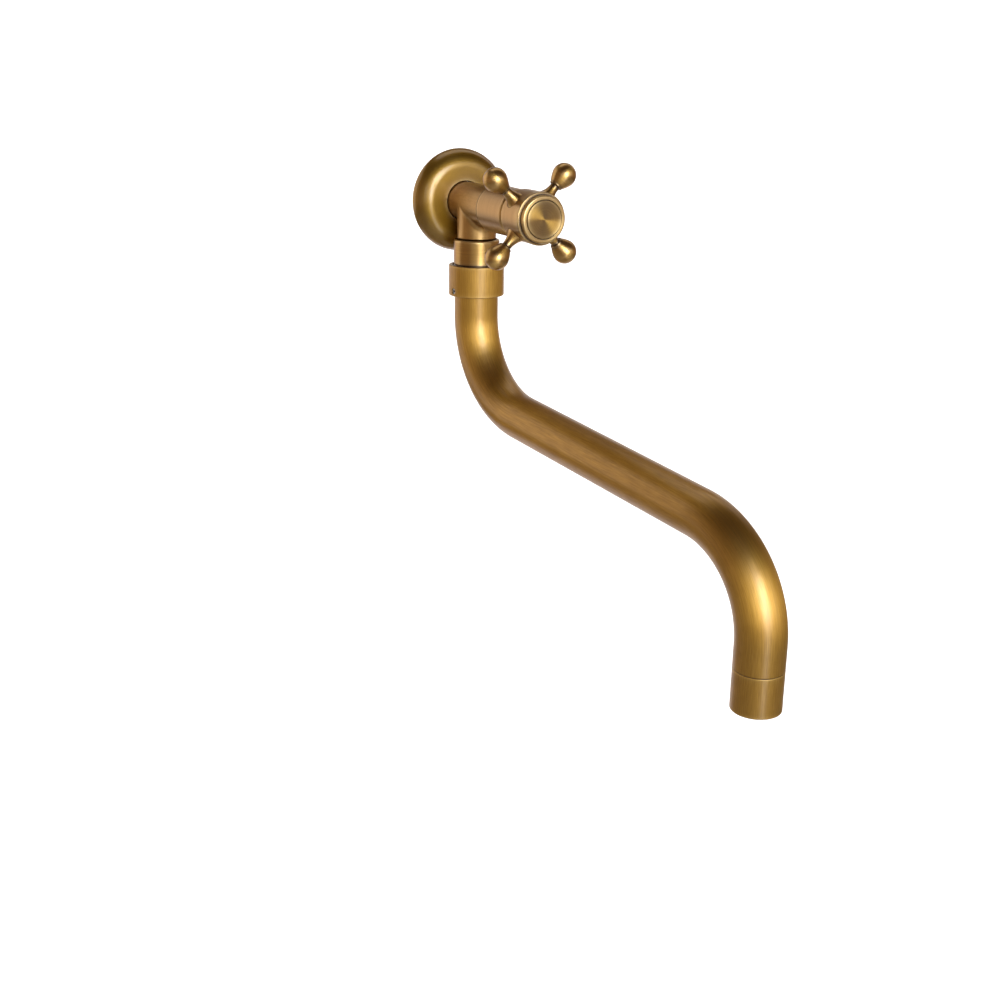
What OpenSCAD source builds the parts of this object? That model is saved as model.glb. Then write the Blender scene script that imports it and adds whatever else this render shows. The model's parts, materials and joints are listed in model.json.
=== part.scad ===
// Wall-mounted garden tap with a cross handle and a long swivel spout.
// Origin: the inlet's axis where it meets the wall. +Y goes into the wall, +Z is up.

/* [Spout] */
// Outside diameter of the spout tube
tube_d = 24; // [22:0.5:26]
// Wall of the spout tube
tube_wall = 1; // [0.8:0.1:1.2]
// Radius of both bends, at the middle of the tube
bend_r = 50; // [44:1:70]
// Angle of both bends
bend_angle = 84; // [60:1:88]
// Straight tube between the collar and the first bend
neck_l = 11; // [8:1:30]
// Straight run between the two bends
run_l = 140; // [80:5:220]
// Straight drop from the second bend to the mouth, aerator sleeve and all
drop_l = 32; // [30:1:60]
// How far the spout is swung to the right of straight out, in degrees
spout_swing = 10; // [-60:1:60]

/* [Swivel] */
// Distance from the wall to the axis that the spout swings about
swivel_out = 24; // [22:0.5:28]
// Outside diameter of the collar on the spout's upper end
collar_d = 30.4; // [29.6:0.1:33]
// Height of the collar
collar_h = 16.5; // [15:0.5:20]
// Outside diameter of the union's sleeve
union_d = 25; // [24.6:0.1:26]
// Height of the sleeve that shows between branch and collar
union_show = 13.7; // [12.5:0.1:20]
// Radial running clearance between the stub and the tube
swivel_clearance = 0.08; // [0.04:0.01:0.1]
// Thickness of the swivel's O-rings
swivel_seal_t = 1.8; // [1.6:0.1:2]
// Diameter of the grub screw that keeps the spout on
grub_d = 3; // [2.5:0.5:3.5]

/* [Body] */
// Diameter of the cast barrel and branch
barrel_d = 21.3; // [21:0.1:22]
// Outside diameter of the pipe threads on the inlet and on the branch
inlet_thread_d = 20.955; // [20.6:0.005:20.955]
// Length of the inlet shank behind the wall's face
shank_l = 22; // [16:1:40]
// Distance from the barrel's axis to the branch's lower face
branch_reach = 18.2; // [16.5:0.1:20]
// Bore of the inlet
inlet_bore_d = 13; // [10:0.5:14]
// Bore of the outlet branch
outlet_bore_d = 14; // [10:0.5:14.5]
// Radius of the cast fillet between barrel and branch
cast_fillet = 4; // [2:0.5:5]

/* [Valve] */
// Outside diameter of the cartridge's thread
cartridge_thread_d = 16.66; // [16:0.01:16.8]
// Diameter of the ceramic discs
disc_d = 11.6; // [10.6:0.1:11.8]
// Thickness of each ceramic disc
disc_t = 2.8; // [2.4:0.1:3.2]
// Diameter of the spindle
spindle_d = 8; // [7:0.1:8.4]
// Number of teeth on the spindle's spline
spline_teeth = 20; // [16:1:24]
// Width of the cartridge's hexagon across its flats
hexagon_af = 17; // [16:0.5:18]

/* [Bonnet] */
// Outside diameter of the bonnet
bonnet_d = 25; // [24.6:0.1:27]
// Length of the bonnet
bonnet_l = 29; // [27:0.5:34]
// Distance from the wall to the bonnet's rear rim
bonnet_out = 51; // [50:0.5:58]

/* [Handle] */
// Diameter of the hub
hub_d = 26; // [25:0.5:30]
// Length of the hub
hub_l = 16.4; // [16:0.1:20]
// Distance from the handle's axis to the tip of an arm
arm_reach = 33; // [31:0.2:42]
// Diameter of the ball at an arm's end
ball_d = 12.2; // [11:0.2:14]
// Diameter of an arm's neck
arm_neck_d = 4.8; // [4.2:0.1:5.4]
// Diameter of an arm's foot on the hub
arm_foot_d = 9.2; // [8:0.1:9.6]
// Turn of the closed handle from the upright cross, in degrees
arm_turn = 47; // [0:1:89]
// Diameter of the round disc on the handle's front
cap_d = 18.6; // [17:0.1:20]

/* [Escutcheon] */
// Diameter of the wall cover
cover_d = 55.8; // [50:0.2:66]
// Height of the wall cover where the barrel leaves it
cover_h = 9.8; // [9:0.2:12]
// Thickness of its sheet
cover_t = 1.2; // [0.8:0.1:1.6]
// Radius of its rounded rim
cover_round = 6.5; // [6:0.5:9]
// Radius of its domed face
cover_dome_r = 70; // [60:1:90]

/* [Hidden] */
$fn = 96;

// How far a cutting shape runs past what it cuts
overrun = 1;
// Gap between two fixed pieces that are screwed or soldered together
joint_gap = 0.06;
// Gap at a running fit on the valve's spindle
spindle_gap = 0.05;
// Gap between pieces that pass each other freely
free_gap = 0.3;
// Small bevel on turned edges
bevel = 0.4;

// Colours
brass = "#a8823f";
brass_dull = "#97764a";
raw_brass = "#c2a35b";
rubber_black = "#2a2a2a";
nylon_white = "#dcdcd6";
ceramic_white = "#efeae0";
steel_grey = "#a9adb0";
fibre_red = "#8c3b2e";

// Body, from the wall outwards
barrel_r = barrel_d / 2;
inlet_thread_r = inlet_thread_d / 2;
// Where the inlet thread ends inside the wall cover
thread_end = 4.5;
thread_bevel = 1.2;
branch_relief = 1.2;
branch_relief_l = 2;
branch_thread_l = 10.1;
branch_end = branch_reach + branch_relief_l + branch_thread_l;
outlet_bore_r = outlet_bore_d / 2;
outlet_bore_top = 3;
// Stations of the fillet's slices, as shares of its radius: drop below the barrel's side, then spread
fillet_shares = [[0, 1], [0.25, 0.42], [0.62, 0.1], [1.15, 0]];
fillet_from_share = 0.82;
fillet_slice = 0.2;
fillet_inset = 0.1;

// Valve chest: the body's front end, hidden under the bonnet
bonnet_r = bonnet_d / 2;
bonnet_wall = 1;
chest_r = bonnet_r - bonnet_wall - joint_gap;
chest_l = 11;
chest_end = bonnet_out + chest_l;
shoulder_r = bonnet_r - bevel / 2;
shoulder_t = 1.2;
shoulder_slope = 1;
chest_bore_r = cartridge_thread_d / 2 + joint_gap;
seat_out = bonnet_out - chest_l;
port_r = 3.4;
port_l = 6;
feed_r = 3.4;
feed_rise = 4;
feed_overlap = 2;
inlet_bore_end = 12;
return_w = 6;
return_h = 2.8;
return_drop = 6.2;
return_in_chest = 2;

// Bonnet
bonnet_end = bonnet_out + bonnet_l;
bonnet_face_t = 2.5;
bonnet_round = 2.5;
bonnet_taper = 0.25;
bonnet_step = 0.5;
bonnet_inside_r = bonnet_r - bonnet_wall - bonnet_step;
// Room between the valve's gland and the bonnet's front, where the clip sits
bonnet_room = 2.8;

// Valve cartridge
disc_r = disc_d / 2;
disc_gap = 0.1;
seat_seal_t = 2.4;
cavity_r = disc_r + disc_gap;
nose_wall = 1;
nose_r = cavity_r + nose_wall;
nose_lift = 1;
nose_start = seat_out + nose_lift;
fixed_disc_out = seat_out + seat_seal_t;
moving_disc_out = fixed_disc_out + disc_t;
drive_out = moving_disc_out + disc_t;
drive_t = 2.4;
drive_w = 4.4;
drive_inset = 0.2;
drive_r = disc_r - drive_inset;
dog_l = 1.2;
dog_w = 1.8;
cavity_end = drive_out + drive_t + free_gap;
window_w = 5;
window_l = 4;
gasket_t = 0.8;
gasket_inset = 1;
gasket_r = chest_r - gasket_inset;
flange_t = 1.4;
flange_r = gasket_r - bevel;
flange_out = chest_end + gasket_t;
hexagon_l = 5;
hexagon_r = hexagon_af / sqrt(3);
gland_r = 6.2;
gland_end = bonnet_end - bonnet_face_t - bonnet_room;
gland_l = gland_end - flange_out - flange_t - hexagon_l;
spindle_r = spindle_d / 2;
spindle_bore_r = spindle_r + spindle_gap;
stem_seal_t = 1.4;
stem_seal_gap = 0.02;
stem_seal_pitch = 4;
stem_seal_in = 8;
stem_seal_out = gland_end - stem_seal_in;
clip_t = 0.8;
clip_stand = 1.5;
clip_r = spindle_r + clip_stand;
clip_depth = 0.7;
clip_mouth = 60;
disc_rim = 1.3;
disc_port_r = disc_r - disc_rim;
disc_core_r = 1.6;
disc_port_angle = 70;

// Handle, from the bonnet outwards
hub_r = hub_d / 2;
hub_gap = 2;
hub_out = bonnet_end + hub_gap;
hub_end = hub_out + hub_l;
// How far the arms sit behind the hub's middle
arm_back = 0.8;
arm_out = hub_out + hub_l / 2 - arm_back;
spline_l = 11;
spline_step = 0.1;
spline_r = spindle_r - spline_step;
spline_depth = 0.4;
spline_gap = 0.08;
spindle_end = hub_out + spline_l;
hub_web_t = 2.2;
hub_recess_out = spindle_end + joint_gap + hub_web_t;
hub_rim = 2.3;
bezel_spigot_r = hub_r - hub_rim;
foot_r = arm_foot_d / 2;
foot_gap = 0.15;
foot_sink = 1.2;
foot_height = 0.5;
foot_seat = hub_r - foot_sink;
stud_r = 2;
stud_l = 5.2;
neck_r = arm_neck_d / 2;
ball_r = ball_d / 2;
ball_at = arm_reach - ball_r;
flank_share = 3;
flank_r = ball_r * flank_share;
flank_lean = 20;
bead_r = 0.8;
bead_gap = 0.4;
bead_at = ball_at - ball_r - bead_gap;
bead_stand = 0.3;
bead_land = 1.3;
drop_start = bead_at;
neck_end = bead_at - bead_land;
arm_rise = neck_end - foot_seat - foot_height;
arm_flare = foot_r - neck_r;
arm_cove = (arm_flare * arm_flare + arm_rise * arm_rise) / (2 * arm_flare);

// Bezel and cap
bezel_stand = 0.1;
bezel_r = hub_r + bezel_stand;
bezel_flange_t = 3;
bezel_step = 1.4;
bezel_ring_r = bezel_r - bezel_step;
bezel_l = 6.3;
bezel_round = 0.9;
bezel_end = hub_end + bezel_l;
cap_r = cap_d / 2;
cap_ledge = 0.8;
bezel_bore_r = cap_r - cap_ledge;
cap_gap = 0.35;
cap_t = 1.5;
cap_proud = 0.4;
cap_seat = bezel_end + cap_proud - cap_t;
cap_plug_l = 2.4;
cap_plug_wall = 1;
cap_edge = 0.35;
screw_r = 2;
screw_l = 9;
screw_head_r = 3.6;
screw_head_t = 2.2;
screw_slot_w = 0.9;
screw_slot_depth = 1.1;
washer_t = 0.8;
washer_out = hub_recess_out;
screw_head_out = washer_out + washer_t;

// Escutcheon
cover_r = cover_d / 2;
cover_hole_r = barrel_r + free_gap;
cover_lip_l = 4;
cover_round_at = cover_r - cover_round;
cover_dome_at = cover_h - sqrt(pow(cover_dome_r, 2) - pow(cover_hole_r, 2));
cover_rim = cover_dome_at + sqrt(pow(cover_dome_r - cover_round, 2) - pow(cover_round_at, 2));
cover_touch = cover_round_at * cover_dome_r / (cover_dome_r - cover_round);

// Union and swivel, measured downwards from the barrel's axis
union_r = union_d / 2;
union_gap = 0.6;
union_top = branch_reach + union_gap;
union_hidden = 2.6;
// The neck turned in the sleeve just above the collar
neck_depth = 0.8;
neck_show = 0.6;
neck_hidden = 0.3;
union_shoulder = union_top + union_show + union_hidden;
tube_r = tube_d / 2;
tube_bore_r = tube_r - tube_wall;
stub_r = tube_bore_r - swivel_clearance;
stub_wall = 3.4;
stub_bore_r = stub_r - stub_wall;
union_thread_r = inlet_thread_r + joint_gap;
union_washer_t = 1.5;
union_washer_r = union_thread_r - joint_gap;
union_floor = branch_end + union_washer_t;
slip_ring_t = 1;
tube_top = union_shoulder + slip_ring_t;
collar_r = collar_d / 2;
collar_top = union_top + union_show;
collar_end = collar_top + collar_h;
collar_gap = 0.8;
collar_mouth_r = union_r + collar_gap;
grub_r = grub_d / 2;
grub_land = 1.3;
grub_at = collar_end - grub_r - grub_land;
grub_sink = 0.5;
grub_tip = 0.7;
grub_turn = 90;
grub_socket_af = grub_d / 2;
grub_socket_depth = 1.5;
groove_depth = 2;
groove_half = grub_r + free_gap;
stub_land = 3;
stub_end = grub_at + groove_half + stub_land;
seal_groove_depth = swivel_seal_t - swivel_clearance / 2 + joint_gap;
seal_groove_spare = 0.4;
seal_groove_l = swivel_seal_t + seal_groove_spare;
seal_in = 2.6;
seal_upper_at = tube_top + seal_in;
seal_land = 1.2;
seal_lower_at = seal_upper_at + seal_groove_l + seal_land;

// Spout's course in its own upright plane: x outwards, z up
neck_end_z = -(collar_end + neck_l);
run_x = bend_r * (1 - cos(bend_angle));
run_z = neck_end_z - bend_r * sin(bend_angle);
fall_x = run_x + run_l * sin(bend_angle);
fall_z = run_z - run_l * cos(bend_angle);
second_centre_x = fall_x - bend_r * cos(bend_angle);
second_centre_z = fall_z - bend_r * sin(bend_angle);
mouth_x = second_centre_x + bend_r;
mouth_z = second_centre_z - drop_l;

// How much slimmer the mandrel leaves the tube in a bend, and how far a straight runs into a bend
bend_draw = 0.02;
bend_seam = 0.2;

// Mouth of the spout
sleeve_l = 20;
sleeve_lip_l = 5.1;
sleeve_lip_w = 1.45;
sleeve_edge = 0.5;
nipple_in = 7;
nipple_wall = 1.8;
insert_flange_t = 1.2;
aerator_washer_t = 1.2;
nipple_low = sleeve_lip_l + insert_flange_t + aerator_washer_t;
insert_r = tube_r - tube_wall - sleeve_lip_w - joint_gap;
insert_lift = 0.8;
insert_hole_r = 0.75;
insert_pitch = 2.1;
insert_rings = 3;
insert_rim = 1;
insert_plate_t = 2.4;
screen_t = 0.4;
screen_pitch = 1.5;
screen_wire = 0.45;
screen_cells = 5;

// Places children with their +Z pointing out of the wall, at the distance t from it
module outward(t = 0) {
    translate([0, -t, 0]) rotate([90, 0, 0]) children();
}

// Places children on the swivel's axis, with z counted from the barrel's axis
module on_swivel(z = 0) {
    translate([0, -swivel_out, z]) children();
}

// Places children in the spout's upright plane, +X along the spout
module in_spout_plane(z = 0) {
    on_swivel(z) rotate([0, 0, spout_swing - 90]) children();
}

// A plain ring or pipe along +Z
module pipe(outer_r, inner_r, l) {
    difference() {
        cylinder(r = outer_r, h = l);
        translate([0, 0, -overrun]) cylinder(r = inner_r, h = l + 2 * overrun);
    }
}

// A round bar along +Z with a bevel on its lower edge, its upper edge or both
module turned_bar(r, l, low = bevel, high = bevel) {
    rotate_extrude() polygon([
        [0, 0], [r - low, 0], [r, low], [r, l - high], [r - high, l], [0, l]
    ]);
}

// A ring of round section, centred on z = 0
module o_ring(outer_r, section_d) {
    rotate_extrude() translate([outer_r - section_d / 2, 0]) circle(d = section_d, $fn = 32);
}

// Half section of the wall cover's dome, with its skin taken off down to a depth
module cover_section(depth) {
    intersection() {
        union() {
            intersection() {
                translate([0, cover_dome_at]) circle(r = cover_dome_r - depth, $fn = 360);
                square([cover_touch, 2 * cover_h]);
            }
            translate([cover_round_at, cover_rim]) circle(r = cover_round - depth);
            square([cover_r - depth, cover_rim]);
        }
        square([cover_r, 2 * cover_h]);
    }
}

module escutcheon() {
    color(brass) outward() rotate_extrude() difference() {
        cover_section(0);
        cover_section(cover_t);
        square([cover_hole_r, 2 * cover_h]);
    }
    color(brass) outward(cover_h - cover_t / 2 - cover_lip_l)
        pipe(cover_hole_r + cover_t, cover_hole_r, cover_lip_l);
}

// The cast fillet under the barrel: elliptical slices that spread along the barrel
module fillet_slice_at(i) {
    drop = barrel_r * fillet_from_share + fillet_shares[i][0] * cast_fillet;
    spread = 1 + fillet_shares[i][1] * cast_fillet / barrel_r;
    on_swivel(-drop) scale([1, spread, 1])
        cylinder(r = barrel_r - fillet_inset, h = fillet_slice, $fn = 48);
}

module cast_blend() {
    hull() {
        on_swivel(-fillet_slice) scale([1, 1 + cast_fillet / barrel_r, 1])
            cylinder(r = barrel_r - fillet_inset, h = fillet_slice, $fn = 48);
        fillet_slice_at(0);
    }
    for (i = [0 : len(fillet_shares) - 2])
        hull() {
            fillet_slice_at(i);
            fillet_slice_at(i + 1);
        }
}

// Outside of the cast barrel, from the inlet's end to the valve chest's front
module barrel() {
    barrel_l = bonnet_out - thread_end;
    outward(-shank_l) turned_bar(inlet_thread_r, shank_l + thread_end, thread_bevel, 0);
    outward(thread_end) cylinder(r = barrel_r, h = barrel_l);
    outward(bonnet_out - shoulder_t - shoulder_slope)
        cylinder(r1 = barrel_r, r2 = shoulder_r, h = shoulder_slope);
    outward(bonnet_out - shoulder_t) cylinder(r = shoulder_r, h = shoulder_t);
    outward(bonnet_out) cylinder(r = chest_r, h = chest_l);
}

// Outside of the branch: cast stump, thread relief and male thread
module branch() {
    on_swivel(-branch_reach) cylinder(r = barrel_r, h = branch_reach);
    on_swivel(-branch_reach - branch_relief_l)
        cylinder(r = barrel_r - branch_relief, h = branch_relief_l + overrun);
    on_swivel(-branch_end) turned_bar(inlet_thread_r, branch_thread_l);
}

// Water passages: inlet, raised feed, seat port, valve chest, return slot and outlet
module body_passages() {
    outward(-shank_l - overrun)
        cylinder(r = inlet_bore_d / 2, h = shank_l + inlet_bore_end + overrun);
    translate([0, 0, feed_rise]) outward(inlet_bore_end - feed_overlap)
        cylinder(r = feed_r, h = seat_out - inlet_bore_end - feed_overlap / 2);
    outward(seat_out - port_l) cylinder(r = port_r, h = port_l + overrun);
    outward(seat_out) cylinder(r = chest_bore_r, h = chest_end - seat_out + overrun);
    translate([-return_w / 2, -seat_out - return_in_chest, -return_drop - return_h])
        cube([return_w, seat_out + return_in_chest - swivel_out, return_h]);
    on_swivel(-branch_end - overrun)
        cylinder(r = outlet_bore_r, h = branch_end - outlet_bore_top + overrun);
}

module tee_body() {
    color(brass) difference() {
        union() {
            barrel();
            branch();
            cast_blend();
        }
        body_passages();
    }
}

// The union: a bevelled sleeve with a female thread above and the swivel's stub below
module outlet_union() {
    color(brass) difference() {
        union() {
            on_swivel(-union_shoulder) turned_bar(union_r, union_shoulder - union_top, 0, 2 * bevel);
            on_swivel(-stub_end) turned_bar(stub_r, stub_end - union_shoulder, bevel, 0);
        }
        on_swivel(-union_floor) cylinder(r = union_thread_r, h = union_floor - union_top + overrun);
        on_swivel(-collar_top - neck_hidden)
            pipe(union_r + overrun, union_r - neck_depth, neck_hidden + neck_show);
        on_swivel(-stub_end - overrun) cylinder(r = stub_bore_r, h = stub_end);
        for (at = [seal_upper_at, seal_lower_at])
            on_swivel(-at - seal_groove_l / 2)
                pipe(stub_r + overrun, stub_r - seal_groove_depth, seal_groove_l);
        on_swivel(-grub_at - groove_half)
            pipe(stub_r + overrun, stub_r - groove_depth, 2 * groove_half);
    }
}

module union_washer() {
    color(fibre_red) on_swivel(-union_floor) pipe(union_washer_r, outlet_bore_r, union_washer_t);
}

module swivel_seal(at) {
    color(rubber_black) on_swivel(-at) o_ring(tube_bore_r - swivel_clearance / 2, swivel_seal_t);
}

module slip_ring() {
    color(nylon_white) on_swivel(-tube_top) pipe(tube_r, stub_r + joint_gap, slip_ring_t);
}

// The bonnet: a thin turned cover with a closed front that the spindle passes through
module bonnet() {
    front_r = bonnet_r - bonnet_taper;
    color(brass_dull) outward(bonnet_out) rotate_extrude() difference() {
        union() {
            polygon([
                [0, 0], [bonnet_r, 0], [front_r, bonnet_l - bonnet_round],
                [front_r - bonnet_round, bonnet_l], [0, bonnet_l]
            ]);
            translate([front_r - bonnet_round, bonnet_l - bonnet_round])
                circle(r = bonnet_round, $fn = 64);
        }
        translate([0, -overrun]) square([chest_r + joint_gap, chest_l + overrun]);
        square([bonnet_inside_r, bonnet_l - bonnet_face_t]);
        square([spindle_r + free_gap, bonnet_l + overrun]);
    }
}

// The cartridge's brass housing: nose, thread, flange, hexagon and gland
module cartridge_housing() {
    color(raw_brass) difference() {
        union() {
            outward(nose_start) cylinder(r = nose_r, h = flange_out - nose_start);
            outward(cavity_end) cylinder(r = cartridge_thread_d / 2, h = flange_out - cavity_end);
            outward(flange_out) cylinder(r = flange_r, h = flange_t);
            outward(flange_out + flange_t) cylinder(r = hexagon_r, h = hexagon_l, $fn = 6);
            outward(gland_end - gland_l) turned_bar(gland_r, gland_l, 0, bevel);
        }
        outward(nose_start - overrun) cylinder(r = cavity_r, h = cavity_end - nose_start + overrun);
        outward(cavity_end - overrun)
            cylinder(r = spindle_bore_r, h = gland_end - cavity_end + 2 * overrun);
        outward(moving_disc_out + bevel) translate([-nose_r - overrun, -window_w / 2, 0])
            cube([2 * (nose_r + overrun), window_w, window_l]);
    }
}

module cartridge_gasket() {
    color(fibre_red) outward(chest_end) pipe(gasket_r, chest_bore_r, gasket_t);
}

module seat_seal() {
    color(rubber_black) outward(seat_out) pipe(disc_r, port_r, seat_seal_t);
}

// A sector of a ring, as a flat shape
module port_sector(angle) {
    reach = disc_r;
    intersection() {
        difference() {
            circle(r = disc_port_r);
            circle(r = disc_core_r);
        }
        polygon([
            [0, 0], [reach, -reach * tan(angle / 2)], [reach, reach * tan(angle / 2)]
        ]);
    }
}

// A ceramic disc with two ports that face each other across the turn given
module ceramic_disc(turn) {
    linear_extrude(disc_t) difference() {
        circle(r = disc_r);
        for (side = [0, 180])
            rotate(turn + side) port_sector(disc_port_angle);
    }
}

module fixed_disc() {
    color(ceramic_white) outward(fixed_disc_out) ceramic_disc(0);
}

// The moving disc has two slots in its front for the spindle's dogs
module moving_disc() {
    color(ceramic_white) difference() {
        outward(moving_disc_out) ceramic_disc(90);
        outward(drive_out - dog_l - joint_gap)
            for (side = [0, 180])
                rotate(side) translate([disc_core_r - joint_gap, -dog_w / 2 - joint_gap, 0])
                    cube([disc_r, dog_w + 2 * joint_gap, dog_l + overrun]);
    }
}

// Outline of the spline's teeth, one peak and one valley per tooth
module spline_outline(grow) {
    step = 360 / spline_teeth;
    polygon([
        for (i = [0 : spline_teeth - 1], side = [0, 1])
            (spline_r + grow - side * spline_depth)
                * [cos((i + side / 2) * step), sin((i + side / 2) * step)]
    ]);
}

// The spindle: drive bar with two dogs, stem with seal and clip grooves, spline
module spindle() {
    color(raw_brass) difference() {
        union() {
            outward(drive_out) intersection() {
                cylinder(r = drive_r, h = drive_t);
                translate([-disc_r, -drive_w / 2, 0]) cube([2 * disc_r, drive_w, drive_t]);
            }
            outward(drive_out) cylinder(r = spindle_r, h = hub_out - drive_out);
            outward(hub_out) linear_extrude(spline_l) spline_outline(0);
            outward(drive_out - dog_l) intersection() {
                cylinder(r = drive_r, h = dog_l + bevel);
                for (side = [0, 180])
                    rotate(side) translate([disc_core_r, -dog_w / 2, 0])
                        cube([disc_r, dog_w, dog_l + bevel]);
            }
        }
        for (at = [stem_seal_out, stem_seal_out + stem_seal_pitch])
            outward(at - stem_seal_t / 2 - joint_gap)
                pipe(spindle_r + overrun, spindle_bore_r - stem_seal_gap - stem_seal_t,
                    stem_seal_t + 2 * joint_gap);
        outward(gland_end + joint_gap) pipe(spindle_r + overrun, spindle_r - clip_depth, clip_t);
        outward(spindle_end - screw_l) cylinder(r = screw_r + joint_gap, h = screw_l + overrun);
    }
}

module spindle_seals() {
    color(rubber_black)
        for (at = [stem_seal_out, stem_seal_out + stem_seal_pitch])
            outward(at) o_ring(spindle_bore_r - stem_seal_gap, stem_seal_t);
}

// An open clip: a flat ring with a mouth that slides over the stem's groove
module retaining_clip() {
    color(steel_grey) outward(gland_end + joint_gap) linear_extrude(clip_t) difference() {
        circle(r = clip_r);
        circle(r = spindle_r - clip_depth + joint_gap);
        polygon([
            [0, 0], [2 * clip_r, -2 * clip_r * tan(clip_mouth / 2)],
            [2 * clip_r, 2 * clip_r * tan(clip_mouth / 2)]
        ]);
    }
}

// Places children along one arm: +Z runs from the handle's axis to the arm's tip
module along_arm(i) {
    translate([0, -arm_out, 0]) rotate([0, 90 - arm_turn - 90 * i, 0]) children();
}

// The hub: a round body, splined from behind, recessed in front, with four arm seats
module handle_hub() {
    color(brass_dull) difference() {
        outward(hub_out) turned_bar(hub_r, hub_l);
        outward(hub_out - overrun) linear_extrude(spline_l + joint_gap + overrun)
            spline_outline(spline_gap);
        outward(hub_out) cylinder(r = screw_r + free_gap, h = hub_l + overrun);
        outward(hub_recess_out)
            cylinder(r = bezel_spigot_r + joint_gap, h = hub_end - hub_recess_out + overrun);
        for (i = [0 : 3])
            along_arm(i) {
                translate([0, 0, foot_seat]) cylinder(r = foot_r + foot_gap, h = foot_sink + overrun);
                translate([0, 0, foot_seat - stud_l - joint_gap])
                    cylinder(r = stud_r + joint_gap, h = stud_l + overrun);
            }
    }
}

// Outline of an arm, radius across and distance from the handle's axis upwards
module arm_outline() {
    tangent_at = ball_at - ball_r * sin(flank_lean);
    flank_out = (flank_r - ball_r) * cos(flank_lean);
    flank_up = (flank_r - ball_r) * sin(flank_lean);
    translate([0, foot_seat - stud_l]) square([stud_r, stud_l + foot_height]);
    translate([0, foot_seat]) square([foot_r, foot_height]);
    difference() {
        translate([0, foot_seat + foot_height]) square([foot_r, arm_rise]);
        translate([neck_r + arm_cove, neck_end]) circle(r = arm_cove, $fn = 180);
    }
    translate([0, foot_seat]) square([neck_r, drop_start - foot_seat + bead_r]);
    translate([neck_r + bead_stand, bead_at]) circle(r = bead_r, $fn = 32);
    intersection() {
        translate([-flank_out, ball_at + flank_up]) circle(r = flank_r);
        translate([0, drop_start]) square([flank_r, tangent_at - drop_start]);
    }
    intersection() {
        translate([0, ball_at]) circle(r = ball_r);
        translate([0, tangent_at - ball_r / 2]) square([ball_r, arm_reach - tangent_at + ball_r / 2]);
    }
}

module handle_arm(i) {
    color(brass) along_arm(i) rotate_extrude() arm_outline();
}

// The bezel: a flange on the hub, a rounded ring in front and a spigot behind
module handle_bezel() {
    spigot_l = hub_end - hub_recess_out - joint_gap;
    color(brass) outward(hub_end) rotate_extrude() difference() {
        union() {
            translate([0, -spigot_l]) square([bezel_spigot_r, spigot_l]);
            polygon([
                [0, 0], [bezel_r - bevel, 0], [bezel_r, bevel], [bezel_r, bezel_flange_t - bevel],
                [bezel_r - bevel, bezel_flange_t], [0, bezel_flange_t]
            ]);
            square([bezel_ring_r, bezel_l - bezel_round]);
            square([bezel_ring_r - bezel_round, bezel_l]);
            translate([bezel_ring_r - bezel_round, bezel_l - bezel_round])
                circle(r = bezel_round, $fn = 32);
        }
        translate([0, -spigot_l - overrun])
            square([bezel_bore_r, spigot_l + bezel_l + 2 * overrun]);
        translate([0, cap_seat - hub_end]) square([cap_r + cap_gap, bezel_l]);
    }
}

// The cap: a disc with a hollow plug that presses into the bezel
module handle_cap() {
    color(brass) {
        outward(cap_seat) turned_bar(cap_r, cap_t, 0, cap_edge);
        outward(cap_seat - cap_plug_l)
            pipe(bezel_bore_r - joint_gap, bezel_bore_r - joint_gap - cap_plug_wall, cap_plug_l);
    }
}

module handle_screw() {
    color(steel_grey) difference() {
        union() {
            outward(screw_head_out) turned_bar(screw_head_r, screw_head_t, 0, bevel);
            outward(spindle_end - screw_l + bevel)
                cylinder(r = screw_r, h = screw_head_out - spindle_end + screw_l - bevel);
        }
        outward(screw_head_out + screw_head_t - screw_slot_depth)
            translate([-screw_head_r - overrun, -screw_slot_w / 2, 0])
                cube([2 * (screw_head_r + overrun), screw_slot_w, screw_slot_depth + overrun]);
    }
}

module screw_washer() {
    color(steel_grey) outward(washer_out) pipe(screw_head_r, screw_r + joint_gap, washer_t);
}

// One bend of the tube's course, of the radius r, starting on the +X axis and turning towards +Z
module course_bend(r) {
    rotate([90, 0, 0]) rotate_extrude(angle = bend_angle)
        translate([bend_r, 0]) circle(r = r - bend_draw);
}

// A straight stretch that runs a little way into the bend at its start, its end or both
module course_straight(r, l, low, high) {
    translate([0, 0, -low]) cylinder(r = r, h = l + low + high);
}

// The tube's course, of the radius r: neck, first bend, run, second bend, drop
module tube_course(r, spare = 0) {
    translate([0, 0, neck_end_z])
        course_straight(r, collar_end + neck_l - tube_top, bend_seam, spare);
    translate([bend_r, 0, neck_end_z]) rotate([0, 180, 0]) course_bend(r);
    translate([run_x, 0, run_z]) rotate([0, 180 - bend_angle, 0])
        course_straight(r, run_l, bend_seam, bend_seam);
    translate([second_centre_x, 0, second_centre_z]) course_bend(r);
    translate([mouth_x, 0, mouth_z + sleeve_l])
        course_straight(r, drop_l - sleeve_l, spare, bend_seam);
}

// The spout tube, hollow all the way, with the grub screw's hole in its neck
module spout_tube() {
    color(brass) difference() {
        in_spout_plane() tube_course(tube_r);
        in_spout_plane() tube_course(tube_bore_r, overrun);
        grub_hole();
    }
}

// Places children on the grub screw's axis: +Z points away from the swivel's axis
module on_grub() {
    in_spout_plane(-grub_at) rotate([0, 0, -grub_turn]) rotate([0, 90, 0]) children();
}

module grub_hole() {
    on_grub() cylinder(r = grub_r + joint_gap, h = collar_r + overrun);
}

// The collar: brazed round the tube, wider at its mouth so that the union's sleeve runs in it
module spout_collar() {
    color(brass) difference() {
        on_swivel(-collar_end) turned_bar(collar_r, collar_h);
        on_swivel(-collar_end - overrun)
            cylinder(r = tube_r + joint_gap, h = collar_h + 2 * overrun);
        on_swivel(-tube_top) cylinder(r = collar_mouth_r, h = tube_top);
        grub_hole();
    }
}

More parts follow.
